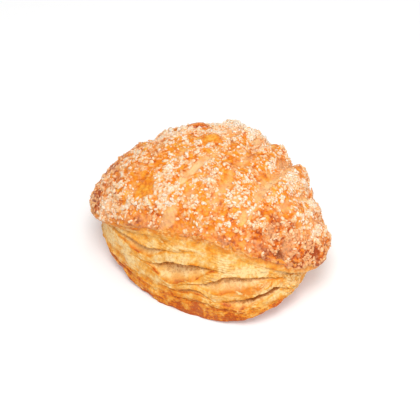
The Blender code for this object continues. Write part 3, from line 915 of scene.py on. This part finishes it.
def layers(level, points):
    """Thin layers, each thicker towards its lower edge: a sawtooth of the height, strong in some places only.

    Gives how far they stand proud, and a mask of the lines between them.
    """
    place = level / LAYER_HEIGHT + 1.2 * rough(points, 12 * MM, 71, 2)
    saw = 1 - place % 1
    layer = smooth_step(0, 0.8, saw) * smooth_step(1, 0.88, saw)
    strength = smooth_step(-0.3, 0.5, rough(points, 9 * MM, 75, 2))
    line = np.maximum(smooth_step(0.86, 1, saw), smooth_step(0.12, 0, saw))
    return LAYER_PROUD * layer * strength, line * strength


def dough_relief(points):
    """The leaves' broad folds, sharper level crinkles, uneven lumps and fine grain."""
    folds = FOLD_HEIGHT * lattice_noise(points * [1, 1, 1.6], 15 * MM, 79)
    crinkles = CRINKLE_HEIGHT * (0.35 - np.abs(lattice_noise(points * [1, 1, 2.4], 9 * MM, 83)))
    uneven = DOUGH_HEIGHT * rough(points, 5 * MM, 81, 3)
    return folds + crinkles + uneven + GRAIN_HEIGHT * rough(points, 1.3 * MM, 88, 2)


def leaf_relief(angle, share, points, inner):
    """How far a leaf stands proud, with layers and lumps outside and wrinkles inside, and its layer lines."""
    foot, rim = foot_curve(angle), rim_curve(angle)
    level = share * np.linalg.norm(rim - foot, axis=1)
    outside = 1 - smooth_step(0, 0.3, inner)
    inward = np.stack(np.broadcast_arrays(*np.moveaxis(ring_points(angle), -1, 0)[:2], 4 * MM * inner), -1)
    wrinkles = WRINKLE_HEIGHT * rough(inward, 1.8 * MM, 85, 2) * (1 - outside)
    proud, line = layers(level, points)
    return outside * proud + dough_relief(points) + wrinkles, outside * line


def corner_share(angle):
    """1 on the pale flaky dough just right of the front corner, falling away as a bell."""
    return bell(np.degrees(angle), PALE_ANGLE, PALE_WIDTH)


def spot_share(spot, angle, share):
    """1 in the middle of a spot of the side, falling away as a bell along it and up it."""
    above = share - along_path(CREASES[1].path, angle)
    return bell(above, spot.above, spot.half_height) * bell(np.degrees(angle), spot.angle, spot.width)


def leaf_rows(angle, below, above):
    """Points and attributes of one leaf, from its cross-section and its relief."""
    share, offset, inner, edge = leaf_profile(below, above)
    points = wall_points(angle, share, offset)
    relief, line = leaf_relief(angle, share, points, inner)
    steep = 1 - smooth_step(0, 0.2, inner)
    points = points + outward(rim_curve(angle)) * (relief * steep)[..., None]
    points[..., 2] += relief * (1 - steep)
    lower = np.arange(len(share))[:, None] < FACE_ROWS
    pale_corner = corner_share(angle) * smooth_step(0.3, 0.55, share)
    baked_corner = bell(np.degrees(angle), BAKED_ANGLE, BAKED_WIDTH)
    # Painted shade on the floor of that pocket's right end, counted as lying further inside.
    hollow = spot_share(SHADED_HOLLOW, angle, share) * smooth_step(0.02, 0.25, inner)
    values = {
        "inner": np.clip(inner * np.where(lower, below.plainness, above.plainness) + hollow, 0, 1),
        "edge": edge,
        "open": np.clip(np.where(lower, below.gape, above.gape), 0, 1),
        "level": np.clip(share - BAKED_RISE * baked_corner, 0, 1),
        "glaze": FOLD_GLAZE * spot_share(FOLD, angle, share),
        "line": line,
        # Raised dough gets a painted highlight and low dough painted orange shade; the flaky corner is also
        # paler dough.
        "ridge": np.clip(dough_relief(points) / (0.8 * MM) + 1.4 * pale_corner, -1, 1.6),
    }
    return points, values


def side_leaves(material):
    """The six leaves between the creases, from the bottom one, which is also the underside, to the top.

    Gives the outer rows of each leaf, and how high on the side each of their points is.
    """
    angle = around(LEAF_AROUND)
    still = np.zeros(LEAF_AROUND)
    foot = Gap(still, still, still + CREASE_DEPTH, still, still + 1)
    top = Gap(still + WALL_TOP, still + 1, still + CREASE_DEPTH, still, still)
    gaps = [foot, *crease_gaps(angle), top]
    faces, levels = [], []
    for number, (below, above) in enumerate(zip(gaps, gaps[1:]), start=1):
        rows, values = leaf_rows(angle, below, above)
        if below is foot:
            bottom_leaf(angle, rows, values, material)
        elif above is top:
            top_leaf(f"leaf_{number}", angle, rows, values, material)
        else:
            ring_piece(f"leaf_{number}", rows, values, material)
        faces.append(rows[FACE_ROWS:FACE_ROWS + NOSE_ROWS - 2])
        levels.append(values["level"][FACE_ROWS:FACE_ROWS + NOSE_ROWS - 2])
    return faces, levels


def top_leaf(name, angle, rows, values, material):
    """The top leaf, whose shoulder runs out to the rim and up the dome, on under the glazed sheet's edge."""
    kept = FACE_ROWS - 1 + NOSE_ROWS
    start = sheet_edge(angle)
    turns = (start + SHEET_OVERLAP) * np.linspace(0, 1, SHOULDER_ROWS)[:, None]
    shoulder, _cuts = dome_points(angle, turns)
    ledge = []
    for t in np.linspace(0, 1, LEDGE_ROWS + 2)[1:-1]:
        row = rows[kept - 1] + (shoulder[0] - rows[kept - 1]) * t
        row[:, 2] -= LEDGE_SAG * np.sin(np.pi * t)
        ledge.append(row)
    proud, line = layers(turns * 25 * MM, shoulder)
    relief = proud + 0.10 * MM * rough(shoulder, 1.2 * MM, 88, 2) - 0.5 * LAYER_PROUD
    shoulder = shoulder + surface_normals(shoulder) * (relief * smooth_step(0, 0.1, turns))[..., None]
    inside = shoulder[-1:] * 0.9
    points = np.concatenate([rows[:kept], np.stack(ledge), shoulder, inside])
    glaze = smooth_step(0.14, 0.02, start - turns)
    shown = {"glaze": glaze, "line": line, "ridge": rough(shoulder, 3 * MM, 89, 2)}
    joined = {}
    for key, value in values.items():
        tail = np.full((LEDGE_ROWS + SHOULDER_ROWS + 1, len(angle)), 1.0 if key == "level" else 0.0)
        if key in shown:
            tail[LEDGE_ROWS:-1] = shown[key]
        joined[key] = np.concatenate([value[:kept], tail])
    ring_piece(name, points, joined, material)


def bottom_leaf(angle, rows, values, material):
    """The lowest leaf as a closed shell: the underside from its flat spot out to the foot, and the nose."""
    start = FACE_ROWS - 1
    foot = rows[start].copy()
    centre = np.array([*FOOT_CENTRE, 0.0])
    base = []
    for share in np.linspace(0, 1, UNDERSIDE_ROWS + 2)[1:-1]:
        lift = max(share - FLAT_SHARE, 0.0) / (1 - FLAT_SHARE)
        row = centre + (foot - centre) * share
        row[:, 2] = np.maximum(foot[:, 2], 0) * lift**UNDERSIDE_POWER
        base.append(row)
    inside = rows[-1] + (centre - rows[-1]) * 0.5
    inside[:, 2] = rows[-1][:, 2]
    points = np.concatenate([np.stack(base), rows[start:], inside[None]])
    points[..., 2] = np.maximum(points[..., 2], 0)
    under = {"inner": 0.0, "edge": 0.35, "open": 0.0, "level": 0.0, "glaze": 0.0, "line": 0.0, "ridge": 0.0}
    values = {
        name: np.concatenate([np.full((len(base), len(angle)), under[name]), v[start:], v[-1:]])
        for name, v in values.items()
    }
    sheet_piece("leaf_1", points, values, material, centre, (*FOOT_CENTRE, inside[:, 2].mean()))


# Loose flakes

class FlakeSpot(NamedTuple):
    """Where flakes sit: their middles, and the directions along them, across them and off the surface."""

    middle: np.ndarray
    along: np.ndarray
    across: np.ndarray
    away: np.ndarray


def spots_at(rows, row, column, turn):
    """The spots of these grid points, turned by these angles in the surface."""
    ahead = np.roll(rows, -1, 1)[row, column] - np.roll(rows, 1, 1)[row, column]
    ahead /= np.linalg.norm(ahead, axis=1, keepdims=True)
    away = surface_normals(rows)[row, column]
    side = np.cross(away, ahead)
    cos, sin = np.cos(turn)[:, None], np.sin(turn)[:, None]
    return FlakeSpot(rows[row, column], ahead * cos + side * sin, side * cos - ahead * sin, away)


def flake_points(spots, length, width, lift, thickness, random):
    """Thin shells: at u from -1 to 1 and v from 0 to 1, u half lengths along and v widths across.

    The width falls as (1 - |u|^2.5)^0.6 to the tips, and the free edge, v = 0, stands off by the lift times
    (1 - v)^2. The second layer lies one thickness lower or, with no thickness, just inside the surface.
    """
    count = len(spots.middle)
    u = np.linspace(-1, 1, FLAKE_COLUMNS)[None, :, None]
    v = np.linspace(0, 1, FLAKE_ROWS)[None, None, :]
    ragged = random.uniform(0.7, 1.1, (count, FLAKE_COLUMNS, 1))
    taper = np.maximum(1 - np.abs(u) ** 2.5, 0.02) ** 0.6 * ragged
    along = length[:, None, None] / 2 * u
    across = (v - 0.6) * width[:, None, None] * taper
    away = lift[:, None, None] * (1 - v) ** 2 * taper - FLAKE_SUNK
    lower = away - thickness if thickness else np.full_like(away, -4 * FLAKE_SUNK)
    shells = []
    for height in (away, lower):
        along, across, height = np.broadcast_arrays(along, across, height)
        shells.append(
            spots.middle[:, None, None] + along[..., None] * spots.along[:, None, None]
            + across[..., None] * spots.across[:, None, None] + height[..., None] * spots.away[:, None, None]
        )
    return np.stack(shells, 1)


def flake_faces():
    """Quads of one flake: the outer layer, the inner one turned over, and the band round their edge."""
    index = np.arange(2 * FLAKE_COLUMNS * FLAKE_ROWS).reshape(2, FLAKE_COLUMNS, FLAKE_ROWS)
    quads = [np.stack([g[:-1, :-1], g[1:, :-1], g[1:, 1:], g[:-1, 1:]], -1).reshape(-1, 4) for g in index]
    outer, inner = (np.concatenate([g[:, 0], g[-1, 1:], g[-2::-1, -1], g[0, -2:0:-1]]) for g in index)
    band = np.stack([inner, np.roll(inner, -1), np.roll(outer, -1), outer], -1)
    return np.concatenate([quads[0], quads[1][:, [0, 3, 2, 1]], band])


def flakes(name, points, material, **attributes):
    """One piece of many flakes, with each attribute given as one value a flake."""
    count = len(points)
    size = points[0].size // 3
    faces = (flake_faces()[None] + size * np.arange(count)[:, None, None]).reshape(-1, 4)
    values = {key: np.repeat(value, size) for key, value in attributes.items()}
    new_piece(name, points.reshape(-1, 3), faces.tolist(), material, **values)


def side_flakes(faces, levels, material):
    """Small peeling flakes over the open sides, most of them near the front corner."""
    random = np.random.default_rng(12)
    chance = 0.12 + corner_share(around(LEAF_AROUND))
    points, level, ridge = [], [], []
    for rows, height in zip(faces[1:], levels[1:]):
        column = random.choice(LEAF_AROUND, SIDE_FLAKES, p=chance / chance.sum())
        row = random.integers(0, len(rows), SIDE_FLAKES)
        half_turn = np.pi * random.integers(0, 2, SIDE_FLAKES)
        spots = spots_at(rows, row, column, half_turn + random.normal(0, 0.15, SIDE_FLAKES))
        length = random.uniform(*FLAKE_LENGTHS, SIDE_FLAKES) * MM
        width = length * random.uniform(*FLAKE_WIDTHS, SIDE_FLAKES)
        lift = random.uniform(*FLAKE_LIFTS, SIDE_FLAKES) * MM
        points.append(flake_points(spots, length, width, lift, FLAKE_THICKNESS, random))
        level.append(height[row, column])
        ridge.append(random.uniform(-0.6, 1.0, SIDE_FLAKES))
    still = np.zeros(SIDE_FLAKES * len(points))
    flakes(
        "side_flakes", np.concatenate(points), material, inner=still, open=still, glaze=still, line=still,
        edge=still + 0.2, level=np.concatenate(level), ridge=np.concatenate(ridge),
    )


def crust_flakes(dome, material):
    """Bigger flakes of the glazed sheet that have lifted from it, each at its nearest point of the dome."""
    random = np.random.default_rng(14)
    flat = dome.points.reshape(-1, 3)
    given = np.array(CRUST_FLAKES)
    nearest = [np.argmin(np.linalg.norm(flat - place, axis=1)) for place in given[:, :3] * MM]
    row, column = np.unravel_index(nearest, dome.points.shape[:2])
    length, width, lift = given[:, 3:6].T * MM
    spots = spots_at(dome.points, row, column, np.radians(given[:, 6]))
    points = flake_points(spots, length, width, lift, 0, random)
    still = np.zeros(len(points))
    flakes(
        "crust_flakes", points, material, cut=still, hem=still, fade=still, sugar=still + 0.35,
        brown=random.uniform(0.35, 0.6, len(points)), clots=random.uniform(0, 1, len(points)),
    )


# Materials

# Linear colours of the crust: pale dough, the hem, melted and burnt sugar, white sugar, and the sheet's edge.
PALE_DOUGH = (0.97, 0.64, 0.31)
TAN_HEM = (0.90, 0.42, 0.17)
MELTED_SUGAR = (0.98, 0.55, 0.25)
BURNT_SUGAR = (0.88, 0.45, 0.21)
WHITE_SUGAR = (1.0, 0.80, 0.60)
FADED_EDGE = (0.93, 0.47, 0.13)
# Of the leaves: the glazed fold, the lines between layers, the dough inside, its specks and painted crevice
# shade.
GLAZED_FOLD = (0.78, 0.23, 0.02)
LAYER_LINE = (0.76, 0.29, 0.04)
CREAM = (0.98, 0.68, 0.32)
DEEP_CREAM = (0.93, 0.52, 0.17)
SPECK = (0.62, 0.24, 0.05)
CREVICE_SHADE = (0.50, 0.17, 0.03)
# Of loose sugar: its stains, and the feet of its grains: caramel with painted shade.
STAIN = (0.94, 0.56, 0.28)
FOOT_CARAMEL_AND_SHADE = (0.90, 0.40, 0.10)


class Value:
    """A value or colour that a material's nodes work out. Sums and products of it are Math nodes."""

    def __init__(self, tree, socket):
        self.tree = tree
        self.socket = socket

    def __add__(self, other):
        return self.joined("ADD", self, other)

    def __sub__(self, other):
        return self.joined("SUBTRACT", self, other)

    def __rsub__(self, other):
        return self.joined("SUBTRACT", other, self)

    def __mul__(self, other):
        return self.joined("MULTIPLY", self, other)

    def joined(self, operation, first, second):
        """The output of a Math node of two values, each a number or another node's."""
        return node_value(self.tree, "ShaderNodeMath", 0, {0: first, 1: second}, operation=operation)

    def clamped(self):
        """The same value, kept from 0 to 1 by its own Math node."""
        self.socket.node.use_clamp = True
        return self

    def beside(self, output):
        """Another output of the same node."""
        return Value(self.tree, self.socket.node.outputs[output])


def feed(node, inputs):
    """Sets each of a node's inputs to a number or a linear colour, or joins another node's value to it."""
    for name, value in inputs.items():
        socket = node.inputs[name]
        if isinstance(value, Value):
            value.tree.links.new(value.socket, socket)
        elif socket.type == "RGBA":
            socket.default_value = (*value, 1.0)
        else:
            socket.default_value = value


def node_value(tree, kind, output, inputs, **settings):
    """One output of a new node with these inputs and settings."""
    node = tree.nodes.new(kind)
    for name, value in settings.items():
        setattr(node, name, value)
    feed(node, inputs)
    return Value(tree, node.outputs[output])


def named_material(name):
    """A new material with a Principled shader, and its node tree and shader."""
    material = bpy.data.materials.new(name)
    material.use_nodes = True
    return material, material.node_tree, material.node_tree.nodes["Principled BSDF"]


def attribute_values(tree, *names):
    """The outputs of these point attributes."""
    return [node_value(tree, "ShaderNodeAttribute", "Fac", {}, attribute_name=name) for name in names]


def object_place(tree):
    """The place on the piece, in metres."""
    return node_value(tree, "ShaderNodeTexCoord", "Object", {})


def colour_ramp(value, stops):
    """The colour of a ramp with these (place, linear colour) stops."""
    colour = node_value(value.tree, "ShaderNodeValToRGB", "Color", {"Fac": value})
    elements = colour.socket.node.color_ramp.elements
    while len(elements) < len(stops):
        elements.new(0.5)
    for element, (place, linear) in zip(elements, stops):
        element.position = place
        element.color = (*linear, 1.0)
    return colour


def mix_colour(share, first, second):
    """A colour mixed from the first to the second by a share. Each is a linear colour or another node's."""
    return node_value(
        share.tree, "ShaderNodeMix", 2, {"Factor": share, 6: first, 7: second}, data_type="RGBA"
    )


def mottle_group():
    """Baked mottling: fractal noise of a given size, as a mask from 0 to 1 and as a height."""
    group = bpy.data.node_groups.new("baked_mottle", "ShaderNodeTree")
    for name, side in (("Size", "INPUT"), ("Contrast", "INPUT"), ("Mask", "OUTPUT"), ("Height", "OUTPUT")):
        group.interface.new_socket(name, in_out=side, socket_type="NodeSocketFloat")
    size = node_value(group, "NodeGroupInput", "Size", {})
    noise = node_value(group, "ShaderNodeTexNoise", "Fac", {
        "Vector": object_place(group), "Scale": size.joined("DIVIDE", 1.0, size), "Detail": 3.0,
        "Roughness": 0.6,
    })
    mask = ((noise - 0.5) * size.beside("Contrast") + 0.5).clamped()
    feed(group.nodes.new("NodeGroupOutput"), {"Mask": mask, "Height": noise})
    return group


def mottle(tree, group, size, contrast):
    """The mask of one use of the mottling group, at that size in metres."""
    return node_value(
        tree, "ShaderNodeGroup", "Mask", {"Size": size, "Contrast": contrast}, node_tree=group
    )


def bump(height, distance, strength):
    """A normal bent by a height."""
    inputs = {"Strength": strength, "Distance": distance, "Height": height}
    return node_value(height.tree, "ShaderNodeBump", "Normal", inputs)


def granule_mask(tree, size):
    """Fused sugar granules: 1 in the middle of each cell of a bent Voronoi pattern, 0 along its borders."""
    place = object_place(tree)
    bend = node_value(tree, "ShaderNodeTexNoise", "Color", {"Vector": place, "Scale": 1 / (2.5 * size)})
    bent = node_value(
        tree, "ShaderNodeVectorMath", "Vector", {0: bend, 1: (1.6 * size,) * 3, 2: place},
        operation="MULTIPLY_ADD",
    )
    cells = node_value(
        tree, "ShaderNodeTexVoronoi", "Distance", {"Vector": bent, "Scale": 1 / size, "Smoothness": 0.25},
        feature="SMOOTH_F1",
    )
    return ((0.62 - cells) * 2.6).clamped()


def crust_material(group):
    """Baked crust: gold to red-brown, under fused sugar granules from peach to white, with a tan hem."""
    material, tree, shader = named_material("sugared_crust")
    cut, hem, sugared, brown, faded, clots = attribute_values(
        tree, "cut", "hem", "sugar", "brown", "fade", "clots"
    )
    fine = mottle(tree, group, 1.5 * MM, 3.4)
    broad = mottle(tree, group, 4.0 * MM, 3.0)
    grain = mottle(tree, group, 1.0 * MM, 3.0)
    baked = colour_ramp(fine * 0.45 + brown - 0.16, (
        (0.0, (0.96, 0.48, 0.07)),
        (0.3, (0.92, 0.31, 0.018)),
        (0.6, (0.82, 0.20, 0.008)),
        (0.85, (0.62, 0.115, 0.008)),
        (1.0, (0.38, 0.06, 0.008)),
    ))
    colour = mix_colour(cut * 0.85, baked, PALE_DOUGH)
    colour = mix_colour(hem * 0.45 * broad, colour, TAN_HEM)
    granules = granule_mask(tree, 1.8 * MM)
    heaped = (clots * 0.75 + granules * 0.75 + grain * 0.4 - 0.45).clamped()
    cover = (heaped * sugared + (sugared - 0.95).clamped() * 1.2).clamped()
    melted = mix_colour((brown * 2.4 - 1.1).clamped(), MELTED_SUGAR, BURNT_SUGAR)
    colour = mix_colour((cover * 1.5).clamped(), colour, melted)
    white = (cover - 0.5).clamped() * 2.0 * (1.5 - brown * 1.6).clamped()
    colour = mix_colour(white, colour, WHITE_SUGAR)
    feed(shader, {
        "Base Color": mix_colour(faded, colour, FADED_EDGE),
        "Roughness": 0.35,
        "Specular IOR Level": 0.2,
        "Normal": bump(granules + grain.beside("Height"), 0.35 * MM, 0.9),
    })
    return material


def leaf_material(group):
    """Flaky leaves: pale gold, painted ridge highlights, orange folds and foot, cream inside, painted crevice
    shade.
    """
    material, tree, shader = named_material("flaky_leaf")
    inner, opened, level, edge, ridge, glaze, line = attribute_values(
        tree, "inner", "open", "level", "edge", "ridge", "glaze", "line"
    )
    fine = mottle(tree, group, 1.6 * MM, 3.0)
    broad = mottle(tree, group, 6.0 * MM, 3.4)
    speck = mottle(tree, group, 1.3 * MM, 9.0)
    blotch = mottle(tree, group, 3.2 * MM, 4.0)
    low = (0.76 - level * 2.4).clamped() * (blotch + 0.55)
    # Raised places are painted paler as a highlight, and low ones more orange as shade.
    tint = edge * (broad + 0.4) * 0.42 + low + fine * 0.30 + broad * 0.38 - ridge * 0.34 - 0.06
    baked = colour_ramp(tint, (
        (0.0, (0.97, 0.68, 0.30)),
        (0.3, (0.93, 0.48, 0.10)),
        (0.55, (0.87, 0.33, 0.022)),
        (0.8, (0.78, 0.20, 0.006)),
        (1.0, (0.55, 0.095, 0.004)),
    ))
    colour = mix_colour(glaze * (fine + 0.3), baked, GLAZED_FOLD)
    colour = mix_colour(line * 0.7, colour, LAYER_LINE)
    cream = mix_colour(broad, CREAM, DEEP_CREAM)
    colour = mix_colour((inner * 3.0).clamped() * opened, colour, cream)
    colour = mix_colour((speck - 0.72).clamped() * 1.3, colour, SPECK)
    # Deep inside the pockets the colour darkens to a painted shade.
    depth = ((inner - 0.45 + speck * 0.22) * 2.4).clamped()
    feed(shader, {
        "Base Color": mix_colour(depth, colour, CREVICE_SHADE),
        "Roughness": 0.38,
        "Specular IOR Level": 0.25,
        "Normal": bump(fine.beside("Height"), 0.5 * MM, 0.7),
    })
    return material


def sugar_material(group):
    """Coarse baked sugar: white to peach, a little caramel on some grains, and at their feet with painted
    shade.
    """
    material, tree, shader = named_material("baked_sugar")
    tone, rise = attribute_values(tree, "tone", "rise")
    colour = colour_ramp(tone, (
        (0.0, (1.0, 0.89, 0.75)),
        (0.4, (1.0, 0.74, 0.50)),
        (0.75, (0.98, 0.54, 0.25)),
        (1.0, (0.86, 0.40, 0.17)),
    ))
    colour = mix_colour(mottle(tree, group, 0.8 * MM, 2.0) * 0.2, colour, STAIN)
    feed(shader, {
        # The feet of the grains are painted orange: caramel, and the warm shade they lie in.
        "Base Color": mix_colour(rise, FOOT_CARAMEL_AND_SHADE, colour),
        "Roughness": 0.45,
        "Specular IOR Level": 0.45,
        "Subsurface Weight": 0.2,
        "Subsurface Radius": (1.0, 0.6, 0.35),
        "Subsurface Scale": 0.8 * MM,
    })
    return material


# Sugar

def icosahedron():
    """The twelve corners of a regular twenty-sided body of radius 1, and its faces, which point outwards."""
    golden = (1 + 5**0.5) / 2
    corners = []
    for a in (-1, 1):
        for b in (-golden, golden):
            corners += [(0, a, b), (a, b, 0), (b, 0, a)]
    corners = np.array(corners) / math.hypot(1, golden)
    edge = 2 / math.hypot(1, golden)
    faces = []
    for i, j, k in combinations(range(12), 3):
        a, b, c = corners[[i, j, k]]
        if max(np.linalg.norm([b - a, c - b, a - c], axis=1)) < edge * 1.01:
            faces.append((i, j, k) if np.dot(np.cross(b - a, c - a), a) > 0 else (i, k, j))
    return corners, np.array(faces)


def random_turns(random, count):
    """Random turns as 3 by 3 matrices, from unit quaternions."""
    quaternions = random.normal(size=(4, count))
    w, x, y, z = quaternions / np.linalg.norm(quaternions, axis=0)
    return np.stack([
        1 - 2 * (y * y + z * z), 2 * (x * y - z * w), 2 * (x * z + y * w),
        2 * (x * y + z * w), 1 - 2 * (x * x + z * z), 2 * (y * z - x * w),
        2 * (x * z - y * w), 2 * (y * z + x * w), 1 - 2 * (x * x + y * y),
    ], -1).reshape(-1, 3, 3)


def scatter(dome, random, count, spacing, from_row=5):
    """Indices of dome points, drawn by area and by how much sugar is there, one to a cell of that spacing."""
    points = dome.points[from_row:]
    up, along = np.gradient(points, axis=0), np.roll(points, -1, 1) - points
    lying = np.clip(dome.sugar[from_row:], 0.05, 2) ** 2 * (0.04 + dome.clots[from_row:])
    weight = np.linalg.norm(np.cross(along, up), axis=2) * lying
    weight = (weight / weight.sum()).ravel()
    drawn = random.choice(weight.size, size=min(count * 3, weight.size // 2), replace=False, p=weight)
    cells = np.floor(points.reshape(-1, 3)[drawn] / spacing).astype(int)
    first = np.unique(cells, axis=0, return_index=True)[1]
    return drawn[np.sort(first)][:count] + from_row * dome.points.shape[1]


def sugar_piece(dome, material, grains):
    """Grains as turned and stretched twenty-sided bodies with uneven corners, pressed flat into the crust."""
    random = np.random.default_rng(grains.seed)
    corners, faces = icosahedron()
    index = scatter(dome, random, grains.count, grains.spacing)
    place = dome.points.reshape(-1, 3)[index]
    normal = dome.normals.reshape(-1, 3)[index]
    count = len(index)
    size = random.uniform(grains.least, grains.most, count)[:, None]
    stretch = random.uniform(*GRAIN_THIN, (count, 1, 3)) * [1, 1, GRAIN_LONG]
    shape = corners * random.uniform(*GRAIN_UNEVEN, (count, len(corners), 1)) * stretch
    turned = np.einsum("nij,nkj->nki", random_turns(random, count), shape) * size[:, None]
    rise = np.einsum("nki,ni->nk", turned, normal)
    turned = turned - GRAIN_PRESSED * rise[..., None] * normal[:, None]
    points = turned + (place + normal * size * random.uniform(*GRAIN_RISE, (count, 1)))[:, None]
    all_faces = (faces[None] + len(corners) * np.arange(count)[:, None, None]).reshape(-1, 3)
    shade = random.beta(1.6, 2.0, count) + 0.22 * lattice_noise(place, 3.5 * MM, 41)
    shade = shade + 0.4 * (0.85 - dome.sugar.ravel()[index]) + 0.8 * (dome.brown.ravel()[index] - 0.45)
    new_piece(
        grains.name, points.reshape(-1, 3), all_faces.tolist(), material, grains.smooth,
        tone=np.repeat(np.clip(shade, 0, 1), len(corners)),
        rise=smooth_step(-0.5, 0.6, (rise / size).ravel()),
    )


# Studio

# Lights, as name, side and height in degrees, width of the square and power, all as far from the pastry.
LIGHTS = (("key", 18.0, 67.0, 0.42, 5.0), ("fill", 80.0, 28.0, 0.60, 1.5))
LIGHT_DISTANCE = 0.9
SURROUND = 0.52
FLOOR_GREY = 0.90
FLOOR_GLOW = 0.16
FLOOR_HALF = 3.0


def direction(azimuth, elevation):
    """The unit vector from the pastry to that side and height, in radians."""
    level = math.cos(elevation)
    return Vector((math.sin(azimuth) * level, -math.cos(azimuth) * level, math.sin(elevation)))


def studio_floor():
    """A plain white floor, which the camera sees a little brighter than it lights the pastry."""
    material, tree, shader = named_material("studio_floor")
    seen = node_value(tree, "ShaderNodeLightPath", "Is Camera Ray", {})
    feed(shader, {
        "Base Color": (FLOOR_GREY, FLOOR_GREY, FLOOR_GREY),
        "Roughness": 0.9,
        "Emission Color": (1.0, 1.0, 1.0),
        "Emission Strength": seen * FLOOR_GLOW,
    })
    mesh = bpy.data.meshes.new("studio_floor")
    corners = [(x * FLOOR_HALF, y * FLOOR_HALF, 0) for x, y in ((-1, -1), (1, -1), (1, 1), (-1, 1))]
    mesh.from_pydata(corners, [], [(0, 1, 2, 3)])
    mesh.materials.append(material)
    floor = new_object("studio_floor", mesh)


def area_light(name, azimuth, elevation, size, power):
    """A square soft light that faces the pastry from that side and height, in degrees."""
    back = direction(math.radians(azimuth), math.radians(elevation))
    data = bpy.data.lights.new(name, "AREA")
    data.size = size
    data.energy = power
    turn = back.to_track_quat("Z", "Y").to_matrix().to_4x4()
    place = Vector(VIEW_TARGET) + back * LIGHT_DISTANCE
    new_object(name, data).matrix_world = Matrix.Translation(place) @ turn


def studio_light():
    """A bright even surround, a broad soft light above the camera, and a weaker one from the right end."""
    world = bpy.data.worlds.new("studio")
    world.use_nodes = True
    feed(world.node_tree.nodes["Background"], {"Color": (1.0, 1.0, 1.0), "Strength": SURROUND})
    bpy.context.scene.world = world
    for light in LIGHTS:
        area_light(*light)


def photo_camera():
    """The photograph's view, with the pastry a little below the middle of the frame."""
    back = direction(VIEW_AZIMUTH, VIEW_ELEVATION)
    right = Vector((math.cos(VIEW_AZIMUTH), math.sin(VIEW_AZIMUTH), 0.0))
    up = back.cross(right)
    place = Vector(VIEW_TARGET) + back * VIEW_DISTANCE + up * VIEW_RAISE
    data = bpy.data.cameras.new("photo_camera")
    data.lens = LENS
    data.clip_start = 0.01
    camera = new_object("photo_camera", data)
    camera.matrix_world = Matrix.Translation(place) @ Matrix((right, up, back)).transposed().to_4x4()
    bpy.context.scene.camera = camera


photo_camera()
studio_floor()
studio_light()
bpy.context.scene.view_settings.view_transform = "Standard"
mottling = mottle_group()
top = build_dome()
sugared, flaky = crust_material(mottling), leaf_material(mottling)
crust(top, sugared)
leaf_faces, leaf_levels = side_leaves(flaky)
side_flakes(leaf_faces, leaf_levels, flaky)
crust_flakes(top, sugared)
loose = sugar_material(mottling)
for grains in SUGARS:
    sugar_piece(top, loose, grains)
